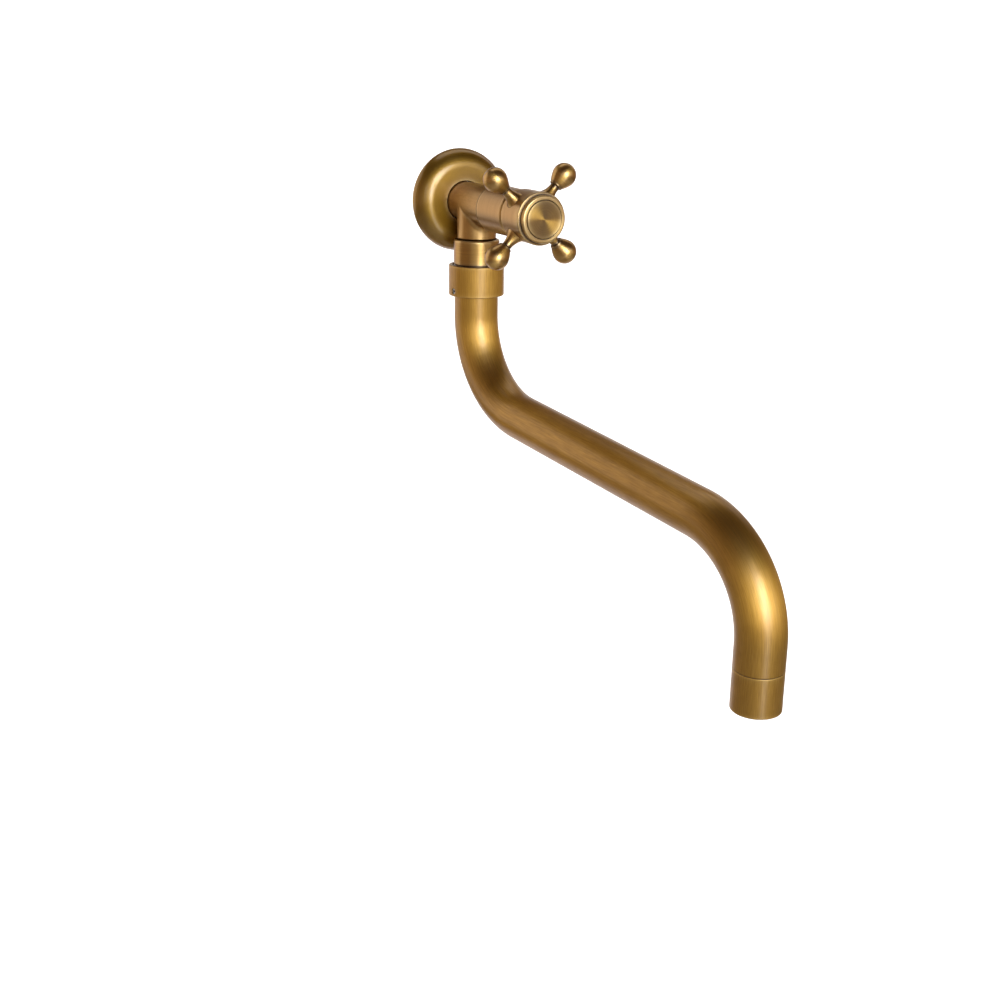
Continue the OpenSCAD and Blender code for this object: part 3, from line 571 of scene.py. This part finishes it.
LENGTHWISE = lengthwise_brushed_brass()
TURNED = lathe_turned_brass()
SHEET = spun_sheet_brass()
FACED = faced_brass()
SATIN = satin_turned_brass()
CAST = blasted_cast_brass()
PLAIN_FINISHES = {      # two colours, metallic, roughness, width of the noise and strength of its relief
    # Machined yellow brass, never lacquered: brighter and yellower than the antique finish
    "brass_plain": plain_finish("machined yellow brass", "#D8B060", "#C09848", 1.0, 0.3, 1.111, 0.05),
    # Moulded nitrile rubber: near black with a soft sheen from its smooth mould
    "rubber": plain_finish("moulded nitrile rubber", "#1C1C1D", "#252526", 0.0, 0.55, 1.667, 0.1),
    # Moulded nylon, natural: milky white, slightly uneven
    "nylon": plain_finish("moulded natural nylon", "#D9D8CF", "#CFCDC2", 0.0, 0.45, 2.5, 0.05),
    # Lapped alumina ceramic: ivory and almost polished
    "ceramic": plain_finish("lapped alumina ceramic", "#E4DFD0", "#DAD3C2", 0.0, 0.15, 2.0, 0.02),
    # Stainless steel, plain rolled or cold headed: neutral grey with a light grain
    "steel": plain_finish("plain stainless steel", "#A5A6A8", "#8E9092", 1.0, 0.32, 0.8333, 0.08),
    # Pressed vulcanised fibre: dull red brown, faintly mottled
    "fibre": plain_finish("pressed vulcanised fibre", "#7A2E22", "#64241A", 0.0, 0.7, 3.333, 0.15),
}


def finish_the_solids():
    """The inner pieces get the finish of their slot, and the solids that a surface stands for get CAST."""
    for part in frame["record"]["subparts"]:
        solid = frame["nodes"][part["node"]]
        solid.data.materials.clear()
        solid.data.materials.append(PLAIN_FINISHES.get(part["material_slot"], CAST))


# Fixed to the wall

def escutcheon():
    """Thin cover spun from sheet: a nearly flat face runs into a rounded rim, and the hollow side is the
    same, drawn in by the sheet's thickness. A step in the bore keeps the gap round the barrel dark, and a
    painted shade darkens the face towards the barrel, by 0.4 exp(-distance / 7)."""
    drop = 0.8              # the rim's centre lies this far behind the wall's face
    face_rise = 0.2         # the face rises a little from the rim to the bore
    bevel_w, bevel_l = 0.25, 0.2
    step_depth = 1.7
    lip_l = 3.9
    lip_r = BARREL_R + 0.05
    tuck_outer, tuck_inner = 0.03, 0.05     # by which the arcs have turned in where they reach the wall
    # Painted shade on the face round the barrel and branch, carried in the patina attribute.
    barrel_shade, barrel_shade_reach = 0.4, 7
    rim = (COVER_R - COVER_ROUND, -drop)
    inside = COVER_ROUND - COVER_T
    foot_outer = COVER_R - tuck_outer
    foot_inner = rim[0] + inside - tuck_inner
    face = COVER_ROUND - drop + face_rise
    bore = BARREL_R + FREE_GAP
    middle = [[bore + bevel_w, face], [bore, face - bevel_l], [bore, face - step_depth],
              [lip_r, face - step_depth - bevel_l], [lip_r, face - lip_l], [bore + COVER_T, face - lip_l],
              [bore + COVER_T, face - COVER_T - face_rise / 2]]
    line = np.array([[foot_outer, 0], *arc(rim, COVER_ROUND, 5, 89), *middle, *arc(rim, inside, 89, 6),
                     [foot_inner, 0], [foot_outer, 0]])
    cover = turned(line, OUTWARD, AROUND_WIDE)
    reach = np.hypot(cover["points"][:, :, 0], cover["points"][:, :, 2])
    # painted shade, deepest next to the barrel
    cover["patina_and_shade"] = np.maximum(cover["patina_and_shade"], barrel_shade * np.exp(-(reach - lip_r) / barrel_shade_reach))
    brass_piece("escutcheon", "tap_body", SHEET, [cover])


def pipe_thread(low, high, crest):
    """Whitworth form, nearly a sine: depth/2 (1 - cos) of the height less the pitch times the turn, fading
    out at both ends of the thread."""
    pitch, depth = 1.814, 1.162
    run_in, run_out = 0.8, 1.5
    near = 0.05     # only the surface this close to the crest is cut

    def relief(r, z, turn):
        phase = 2 * math.pi * (z / pitch - turn / (2 * math.pi))
        fade = np.clip((z - low) / run_in, 0, 1) * np.clip((high - z) / run_out, 0, 1)
        return np.where(r > crest - near, depth / 2 * (1 - np.cos(phase)) * fade, 0)
    return relief


def branch_sheet():
    """The branch and its fillet. A ball of radius CAST_FILLET rolled in the corner of barrel and branch has
    its centre at (cos a, sin a, -|sin a|) (BARREL_R + CAST_FILLET), touches the branch beside it and the
    barrel above it, and between the two contacts the surface is the ball's arc. Below them the branch is a
    plain cylinder, and ends in the relief above its hidden thread."""
    relief_r = 9.4
    relief_l = 2
    edge = 0.2
    turn = np.linspace(0, 2 * math.pi, AROUND + 1)
    big = BARREL_R + CAST_FILLET
    centre = big * np.stack([np.cos(turn), np.sin(turn), -np.abs(np.sin(turn))], axis=-1)
    share = BARREL_R / big
    on_branch = centre * [share, share, 1]
    on_barrel = centre * [share, 1, share]
    start = on_branch - centre
    end = on_barrel - centre
    spread = np.arccos(np.clip((start * end).sum(axis=-1) / CAST_FILLET ** 2, -1, 1 - 1e-9))[:, None]
    ring = np.stack([np.cos(turn), np.sin(turn), 0 * turn], axis=-1)
    up = np.array([0, 0, 1])
    foot = ring * BARREL_R + up * (edge - BRANCH_REACH)
    rows = [0 * ring - up * (BRANCH_REACH + relief_l)]
    rows += [ring * relief_r - up * (BRANCH_REACH + relief_l), ring * relief_r - up * BRANCH_REACH]
    rows += [ring * (BARREL_R - edge) - up * BRANCH_REACH, foot]
    rows += [foot + (on_branch - foot) * s for s in np.linspace(0.05, 1, 14)]
    for s in np.linspace(0, 1, 11)[1:]:
        rows.append(centre + (np.sin((1 - s) * spread) * start + np.sin(s * spread) * end) / np.sin(spread))
    rows += [on_barrel * 0.85, 0 * ring]
    points = np.stack(rows)
    steps = np.linalg.norm(np.diff(points, axis=0), axis=-1)
    along = np.concatenate([np.zeros((1, len(turn))), np.cumsum(steps, axis=0)])
    ones = np.ones_like(along)
    axes, origin = SWIVEL
    return sheet(points @ axes + origin, ones * turn / (2 * math.pi), along, BARREL_R, 0 * ones, 0 * ones)


def tee_body():
    """The casting: threaded inlet shank, barrel with its shoulder and the fine gap before the bonnet, and the
    branch that carries the spout. The thread has rows of its own, a ninth of its pitch apart."""
    bevel = 1.2
    bore_end = 12
    shoulder_r = BONNET_R - 0.2
    shoulder_t = 1.2
    shoulder_slope = 1
    shadow = 0.5
    shadow_floor_r = 11.6
    chest_r = BONNET_R - BONNET_WALL - JOINT_GAP
    chest_bore_r = 8.39
    thread_from, thread_to, row = -20.4, THREAD_END - 0.1, 0.2
    thread_rows = [(THREAD_R, z, 0) for z in np.arange(thread_from, thread_to, row)]
    shank = [(0, bore_end, 0), (INLET_BORE_R, bore_end, 0.1), (INLET_BORE_R, -SHANK_L, 0.4),
             (THREAD_R - bevel, -SHANK_L, 0.2), (THREAD_R, bevel - SHANK_L, 0.2)]
    barrel = [(THREAD_R, THREAD_END, 0.05), (BARREL_R, THREAD_END, 0.05),
              (BARREL_R, BONNET_OUT - shoulder_t - shoulder_slope, 0.3),
              (shoulder_r, BONNET_OUT - shoulder_t, 0.3), (shoulder_r, BONNET_OUT - shadow, 0.15),
              (shadow_floor_r, BONNET_OUT - shadow, 0.1), (shadow_floor_r, BONNET_OUT, 0.1)]
    chest = [(chest_r, BONNET_OUT, 0.1), (chest_r, BONNET_OUT + CHEST_L, 0.1),
             (chest_bore_r, BONNET_OUT + CHEST_L, 0.2), (chest_bore_r, BONNET_OUT - CHEST_L, 0.2),
             (0, BONNET_OUT - CHEST_L, 0)]
    line = rounded(shank + thread_rows + barrel + chest, closed=False)
    relief = pipe_thread(1 - SHANK_L, thread_to, THREAD_R)
    brass_piece("tee_body", "tap_body", CAST,
                [turned(line, OUTWARD, closed=False, relief=relief), branch_sheet()])


def outlet_union():
    """Turned sleeve on the branch; its stub has two O-ring grooves and one for the grub screw, and a fine
    neck is turned in it where the collar begins."""
    stub_wall = 3.4
    bore_r = STUB_R - stub_wall
    thread_r = THREAD_R + JOINT_GAP
    branch_thread_l = 12.1      # with its relief
    washer_t = 1.5
    floor = -BRANCH_REACH - branch_thread_l - washer_t
    neck_r = UNION_R - 0.8
    neck_low = -COLLAR_TOP - 0.3
    neck_high = -COLLAR_TOP + 0.6
    grub_l, grub_depth = 2 * (GRUB_R + FREE_GAP), 2
    seal_l, seal_depth = 2.2, 1.82
    seal_upper = -TUBE_TOP - 2.6
    seal_lower = seal_upper - seal_l - 1.2
    stub_end = -GRUB_AT - grub_l / 2 - 3

    def groove(middle, length, depth):
        low, high = middle - length / 2, middle + length / 2
        deep_r = STUB_R - depth
        return [(STUB_R, low, 0.1), (deep_r, low, 0.1), (deep_r, high, 0.1), (STUB_R, high, 0.1)]

    line = rounded([(bore_r, stub_end, 0.3), (STUB_R, stub_end, 0.4)]
                   + groove(-GRUB_AT, grub_l, grub_depth)
                   + groove(seal_lower, seal_l, seal_depth) + groove(seal_upper, seal_l, seal_depth)
                   + [(STUB_R, -UNION_SHOULDER, 0.1), (UNION_R, -UNION_SHOULDER, 0.25),
                      (UNION_R, neck_low, 0.1), (neck_r, neck_low, 0.1), (neck_r, neck_high, 0.1),
                      (UNION_R, neck_high, 0.2), (UNION_R, -UNION_TOP, 0.9), (thread_r, -UNION_TOP, 0.2),
                      (thread_r, floor, 0.1), (bore_r, floor, 0.2)])
    brass_piece("outlet_union", "tap_body", TURNED, [turned(line, SWIVEL)])


def bonnet():
    """Turned shroud over the valve, with a softly rounded front edge and a hole for the stem."""
    hole_r = SPINDLE_R + FREE_GAP
    face_in = BONNET_END - 2.5
    taper = 0.25
    rear_r = BONNET_R - BONNET_WALL
    front_r = rear_r - 0.5
    step_at = BONNET_OUT + CHEST_L
    line = rounded([(BONNET_R, BONNET_OUT, 0.3), (BONNET_R - taper, BONNET_END, 2.5),
                    (hole_r, BONNET_END, 0.3), (hole_r, face_in, 0.3), (front_r, face_in, 0.4),
                    (front_r, step_at, 0.1), (rear_r, step_at, 0.1), (rear_r, BONNET_OUT, 0.1)])
    brass_piece("bonnet", "tap_body", SATIN, [turned(line, OUTWARD)])


# Turned by hand

def handle_hub():
    """Round hub: four flat seats are sunk in its wall for the arms, and the bezel's spigot sits in its
    front."""
    spline_r = 3.6
    recess_r = HUB_R - HUB_RIM + JOINT_GAP
    line = spaced(rounded([(spline_r, HUB_OUT, 0.2), (HUB_R, HUB_OUT, 0.5), (HUB_R, HUB_END, 0.3),
                           (recess_r, HUB_END, 0.1), (recess_r, HUB_FLOOR, 0.1), (spline_r, HUB_FLOOR, 0.2)]))
    seats = [ARM_TURN + 90 * quarter for quarter in range(4)]
    seat_r = ARM_FOOT_R + 0.15
    window = (26, 5.8)
    brass_piece("handle_hub", "handle", SATIN,
                pocketed(line, OUTWARD, AROUND_WIDE, seats, ARM_OUT, window, seat_r, ARM_SEAT))


def handle_arm(node, lean):
    """One turned arm: a foot on the hub, a waisted neck, a bead, and a ball that tapers back to it. The cove
    of the neck is the circle that runs out level with the neck and meets the foot: its radius is
    (flare^2 + rise^2) / (2 flare). The flank's circle is three times the ball's and touches it 20 degrees
    below its middle."""
    stud_r, stud_l = 2.0, 5.2
    ball_at = ARM_REACH - BALL_R
    bead_at = ball_at - BALL_R - 0.4
    neck_end = bead_at - 1.3
    rise = neck_end - ARM_SEAT - 0.5
    flare = ARM_FOOT_R - ARM_NECK_R
    cove_r = (flare ** 2 + rise ** 2) / (2 * flare)
    cove_turn = math.degrees(math.asin(rise / cove_r))
    flank_r = 3 * BALL_R
    flank_lean = math.radians(20)
    flank_centre = ((BALL_R - flank_r) * math.cos(flank_lean),
                    ball_at + (flank_r - BALL_R) * math.sin(flank_lean))
    foot = [[0, ARM_SEAT - stud_l], [stud_r, ARM_SEAT - stud_l], [stud_r, ARM_SEAT - 0.03],
            [ARM_FOOT_R - 0.15, ARM_SEAT], [ARM_FOOT_R, ARM_SEAT + 0.1], [ARM_FOOT_R, ARM_SEAT + 0.4]]
    cove = arc((ARM_NECK_R + cove_r, neck_end), cove_r, 180 + cove_turn, 179)
    bead = arc((ARM_NECK_R + 0.3, bead_at), 0.8, -100, 5)
    flank = arc(flank_centre, flank_r, -34.8, -20.5)
    ball = arc((0, ball_at), BALL_R, -18.5, 90)
    line = np.concatenate([foot, cove, bead, flank, ball])
    brass_piece(node, "handle", TURNED,
                [turned(line, arm_place(lean), AROUND_ARM, closed=False, step=ROW / 2)])


def handle_bezel():
    """Ring on the hub's front: a flange, a step, a rounded ring and a bore that shows round the cap."""
    spigot_r = HUB_R - HUB_RIM
    spigot_end = HUB_FLOOR + JOINT_GAP
    flange_end = HUB_END + 3
    ring_r = BEZEL_R - 1.4
    mouth_r = CAP_R + 0.35
    line = rounded([(spigot_r, spigot_end, 0.3), (spigot_r, HUB_END, 0.05), (BEZEL_R, HUB_END, 0.3),
                    (BEZEL_R, flange_end, 0.5), (ring_r, flange_end + 0.1, 0.2), (ring_r, BEZEL_END, 0.9),
                    (mouth_r, BEZEL_END, 0.2), (mouth_r, CAP_SEAT, 0.05), (BEZEL_BORE_R, CAP_SEAT, 0.1),
                    (BEZEL_BORE_R, spigot_end, 0.2)])
    brass_piece("handle_bezel", "handle", TURNED, [turned(line, OUTWARD, AROUND_WIDE)])


def handle_cap():
    """Faced disc pressed in the bezel, with a short plug behind."""
    plug_r = BEZEL_BORE_R - JOINT_GAP
    plug_end = CAP_SEAT - 2.4
    line = rounded([(0, plug_end, 0), (plug_r - 1, plug_end, 0.2), (plug_r, plug_end + 0.7, 0.2),
                    (plug_r, CAP_SEAT, 0.05), (CAP_R, CAP_SEAT, 0.1), (CAP_R, CAP_SEAT + CAP_T, 0.3),
                    (0, CAP_SEAT + CAP_T, 0)], closed=False)
    brass_piece("handle_cap", "handle", FACED,
                [turned(line, OUTWARD, AROUND_WIDE, closed=False)])


# Swings

def tube_path():
    """The tube's axis in the spout's plane, with its heading at each point: straight down, a bend, the run, a
    second bend of the same size, and straight down again. A bend's points are centre + radius (cos, sin)."""
    fine_step, run_step = 0.4, 3        # the short stretches have seams, the run has none

    def straight(start, end, step):
        length = np.linalg.norm(end - start)
        share = np.linspace(0, 1, round(length / step))[:, None]
        return start + (end - start) * share, 0 * share + (end - start) / length

    def bend(centre, start, end):
        turn = np.linspace(start, end, 49)[1:-1]
        out = np.stack([np.cos(turn), np.sin(turn)], axis=1)
        way = np.stack([-np.sin(turn), np.cos(turn)], axis=1) * np.sign(end - start)
        return centre + BEND_R * out, way

    sleeve_gap = 0.04
    fall_end = np.array([MOUTH_X, SLEEVE_TOP + sleeve_gap])
    stretches = [straight(np.array([0, -TUBE_TOP]), np.array([0, FIRST_BEND[1]]), fine_step),
                 bend(FIRST_BEND, math.pi, math.pi + BEND_ANGLE),
                 straight(RUN_START, RUN_END, run_step),
                 bend(SECOND_BEND, BEND_ANGLE, 0),
                 straight(np.array([MOUTH_X, SECOND_BEND[1]]), fall_end, fine_step)]
    path = np.concatenate([points for points, _ in stretches])
    heading = np.concatenate([way for _, way in stretches])
    lift = np.array([[1, 0, 0], [0, 0, 1]], float)
    return path @ lift, heading @ lift


def spout_tube():
    """Bent tube: the outside goes down the path, the bore comes back up, and a ring joins the two at each
    end. The ring at the sleeve is bevelled."""
    bevel = 0.25
    path, heading = tube_path()
    length = run_length(path)
    last = len(path) - 1
    down = np.arange(last + 1)
    order = np.concatenate([down, [last], down[::-1], [0]])
    outside = np.full(last + 1, TUBE_R)
    radii = np.concatenate([outside, [TUBE_R - bevel], outside - TUBE_WALL, [TUBE_R]])
    path = path[order]
    path[last] -= heading[last] * bevel
    seams = (COLLAR_END - TUBE_TOP, length[last])
    tube = carried(path, heading[order], radii, length[order], spout_place(), AROUND_SPOUT, seams)
    brass_piece("spout_tube", "spout", LENGTHWISE, [tube])


def spout_collar():
    """Ring brazed round the tube's upper end, with a tapped hole for the grub screw."""
    inner_r = TUBE_R + JOINT_GAP
    mouth_r = UNION_R + 0.8
    hole_r = GRUB_R + JOINT_GAP
    hole_floor = 12.6
    hole_turn = 270
    window = (9, 2.4)
    line = spaced(rounded([(inner_r, -COLLAR_END, 0.1), (COLLAR_R, -COLLAR_END, 0.4),
                           (COLLAR_R, -COLLAR_TOP, 0.4), (mouth_r, -COLLAR_TOP, 0.2),
                           (mouth_r, -TUBE_TOP, 0.1), (inner_r, -TUBE_TOP, 0.1)]), 0.7)
    brass_piece("spout_collar", "spout", LENGTHWISE,
                pocketed(line, spout_place(), AROUND_SPOUT, [hole_turn], -GRUB_AT, window, hole_r,
                         hole_floor))


def aerator_sleeve():
    """Outer sleeve on the tube's lower end, flush with it; a fine groove shows where the two meet."""
    bore_r = TUBE_R - TUBE_WALL + 0.03
    lip_w, lip_l = 1.45, 5.08
    lip_r = TUBE_R - TUBE_WALL - lip_w
    lip_top = MOUTH_Z + lip_l
    line = rounded([(lip_r, MOUTH_Z, 0.3), (TUBE_R, MOUTH_Z, 0.5), (TUBE_R, SLEEVE_TOP, 0.3),
                    (bore_r, SLEEVE_TOP, 0.1), (bore_r, lip_top, 0.1), (lip_r, lip_top, 0.1)])
    brass_piece("aerator_sleeve", "spout", LENGTHWISE,
                [turned(line, spout_place(MOUTH_X), AROUND_SPOUT)])


def build_the_tap():
    """Every visible brass piece, from the wall outwards and then down the spout."""
    finish_the_solids()
    escutcheon()
    tee_body()
    outlet_union()
    bonnet()
    handle_hub()
    arms = ("arm_upper_right", "arm_upper_left", "arm_lower_left", "arm_lower_right")
    for quarter, node in enumerate(arms):
        handle_arm(node, 90 - ARM_TURN - 90 * quarter)
    handle_bezel()
    handle_cap()
    spout_tube()
    spout_collar()
    aerator_sleeve()


# Studio in metres: pale floor and backdrop, soft lamps, and the photograph's camera

FLOOR_Z = -1.3      # the tap hangs on a wall, so the floor is well below it


def stage_sheet(name, x, y, z, finish, turn=0):
    """A smooth sheet of the studio: its profile (y, z) is drawn from one x to the other, and the sheet is
    turned by some degrees about the vertical."""
    points = np.stack(np.broadcast_arrays(np.array(x)[None, :], y[:, None], z[:, None]), axis=-1)
    c, s = math.cos(math.radians(turn)), math.sin(math.radians(turn))
    points = points @ np.array([[c, s, 0], [-s, c, 0], [0, 0, 1]])
    rows, cols = points.shape[:2]
    number = np.arange(rows * cols).reshape(rows, cols)
    quads = np.stack([number[:-1, :-1], number[:-1, 1:], number[1:, 1:], number[1:, :-1]], axis=-1)
    mesh = bpy.data.meshes.new(name)
    mesh.from_pydata(points.reshape(-1, 3).tolist(), [], quads.reshape(-1, 4).tolist())
    mesh.shade_smooth()
    mesh.materials.append(finish)
    shown = bpy.data.objects.new(name, mesh)
    bpy.context.scene.collection.objects.link(shown)


def floor():
    """A pale matt floor under and before the tap."""
    finish, _, shader = new_finish("pale grey studio floor")
    shader.inputs["Base Color"].default_value = linear("#CCC7BE")
    shader.inputs["Roughness"].default_value = 0.8
    half = 6
    stage_sheet("studio_floor", (-half, half), np.array([-half, half]), np.array([FLOOR_Z, FLOOR_Z]), finish)


def paper_roll():
    """A white paper sweep behind the tap, whose height is rise (1 - cos) of the way round a quarter circle.
    It shows white to the camera, to glossy and to transmitted rays, and less so towards its top."""
    finish, tree, shader = new_finish("matt white studio paper")
    shader.inputs["Base Color"].default_value = linear("#F4F3F1")
    shader.inputs["Roughness"].default_value = 0.9
    ray = add(tree, "ShaderNodeLightPath").outputs
    seen = add(tree, "ShaderNodeMath", {0: ray["Is Camera Ray"], 1: ray["Is Glossy Ray"]},
               operation="MAXIMUM")
    seen = add(tree, "ShaderNodeMath", {0: seen.outputs[0], 1: ray["Is Transmission Ray"]},
               operation="MAXIMUM")
    height = add(tree, "ShaderNodeTexCoord").outputs["Object"]
    height = add(tree, "ShaderNodeSeparateXYZ", {"Vector": height}).outputs["Z"]
    fade = add(tree, "ShaderNodeMapRange", {"Value": height, "From Min": 0.28, "From Max": 0.5,
                                            "To Min": 0.8, "To Max": 0.1})
    glow = add(tree, "ShaderNodeMath", {0: seen.outputs[0], 1: fade.outputs["Result"]}, operation="MULTIPLY")
    shader.inputs["Emission Color"].default_value = linear("#FFFFFF")
    tree.links.new(glow.outputs[0], shader.inputs["Emission Strength"])
    front, middle, rise, top = 0.75, 1.2, 1.0, 2.2
    half_width = 1.36
    turn = -25      # square to the camera
    bend = np.radians(np.linspace(0, 90, 25))
    y = np.concatenate([[front], middle + rise * np.sin(bend), [middle + rise]])
    z = np.concatenate([[0], rise * (1 - np.cos(bend)), [top]]) + FLOOR_Z + 2 * MM
    stage_sheet("studio_roll", (-half_width, half_width), y, z, finish, turn)


def softbox(name, target, azimuth, elevation, distance, width, height, radiance, colour="#FFFFFF"):
    """An area lamp that faces the target from that direction; azimuth 0 is in front of the tap and grows to
    the right of someone who faces it. Power = radiance times pi times the area."""
    a, e = math.radians(azimuth), math.radians(elevation)
    out = np.array([math.sin(a) * math.cos(e), -math.cos(a) * math.cos(e), math.sin(e)])
    lamp = bpy.data.lights.new(name, "AREA")
    lamp.shape = "RECTANGLE"
    lamp.size = width
    lamp.size_y = height
    lamp.energy = radiance * math.pi * width * height
    lamp.color = linear(colour)[:3]
    shown = bpy.data.objects.new(name, lamp)
    shown.location = np.array(target) + out * distance
    shown.rotation_euler = Euler((math.radians(90 - elevation), 0, math.radians(azimuth)))
    bpy.context.scene.collection.objects.link(shown)


def lamps():
    """A key, a tall strip and a wide low box in front, a little cooler than the warm room, one box from
    behind, and a lamp each for the floor and the paper."""
    tap = (0.02, -0.12, -0.08)
    cool = "#E8F4FF"
    # Azimuth, elevation, distance, width, height and radiance
    softbox("key_softbox", tap, -4, 15, 1.6, 0.9, 0.95, 8.6, cool)
    softbox("strip_softbox", tap, -6, -4, 1.7, 0.5, 2.3, 2.7, cool)
    softbox("wide_softbox", tap, 0, 17, 1.9, 5.0, 1.25, 1.1, cool)
    softbox("floor_lamp", (-0.3, -2.4, FLOOR_Z), 0, 80, 1.6, 2.5, 1.2, 1.7)
    softbox("side_softbox", tap, -145, 10, 2.5, 2.5, 2.6, 1.0)
    softbox("backdrop_lamp", (0.8, 1.8, -1.2), 10, 60, 2.4, 2.6, 0.8, 1.3)


def room():
    """Dim warm studio round the softboxes: the light falls off from the horizon to a dark ceiling."""
    world = bpy.data.worlds.new("dim_studio")
    world.use_nodes = True
    tree = world.node_tree
    way = add(tree, "ShaderNodeTexCoord").outputs["Generated"]
    up = add(tree, "ShaderNodeSeparateXYZ", {"Vector": way}).outputs["Z"]
    share = add(tree, "ShaderNodeMapRange", {"Value": up, "From Min": 0.0, "From Max": 0.7}).outputs["Result"]
    colour = add(tree, "ShaderNodeMix", {"Factor": share, "A": linear("#AC9072"), "B": linear("#3E2C1C")},
                 data_type="RGBA")
    back = tree.nodes["Background"]
    tree.links.new(colour.outputs["Result"], back.inputs["Color"])
    back.inputs["Strength"].default_value = 1.2
    bpy.context.scene.world = world


def camera():
    """Placed by a fit of the outlines above to the photograph's edges; its focal length is 1340.3 of the
    picture's 1000 px of width."""
    lens = bpy.data.cameras.new("photo_camera")
    lens.sensor_fit = "HORIZONTAL"
    lens.sensor_width = 36
    lens.lens = 48.2513
    lens.clip_start = 0.01
    shown = bpy.data.objects.new("photo_camera", lens)
    shown.location = (-0.303613, -0.698397, 0.074111)
    shown.rotation_euler = Euler([math.radians(d) for d in (71.8242, -0.6426, -25.1438)])
    bpy.context.scene.collection.objects.link(shown)
    bpy.context.scene.camera = shown


build_the_tap()
floor()
paper_roll()
room()
lamps()
camera()
bpy.context.scene.view_settings.view_transform = "Standard"
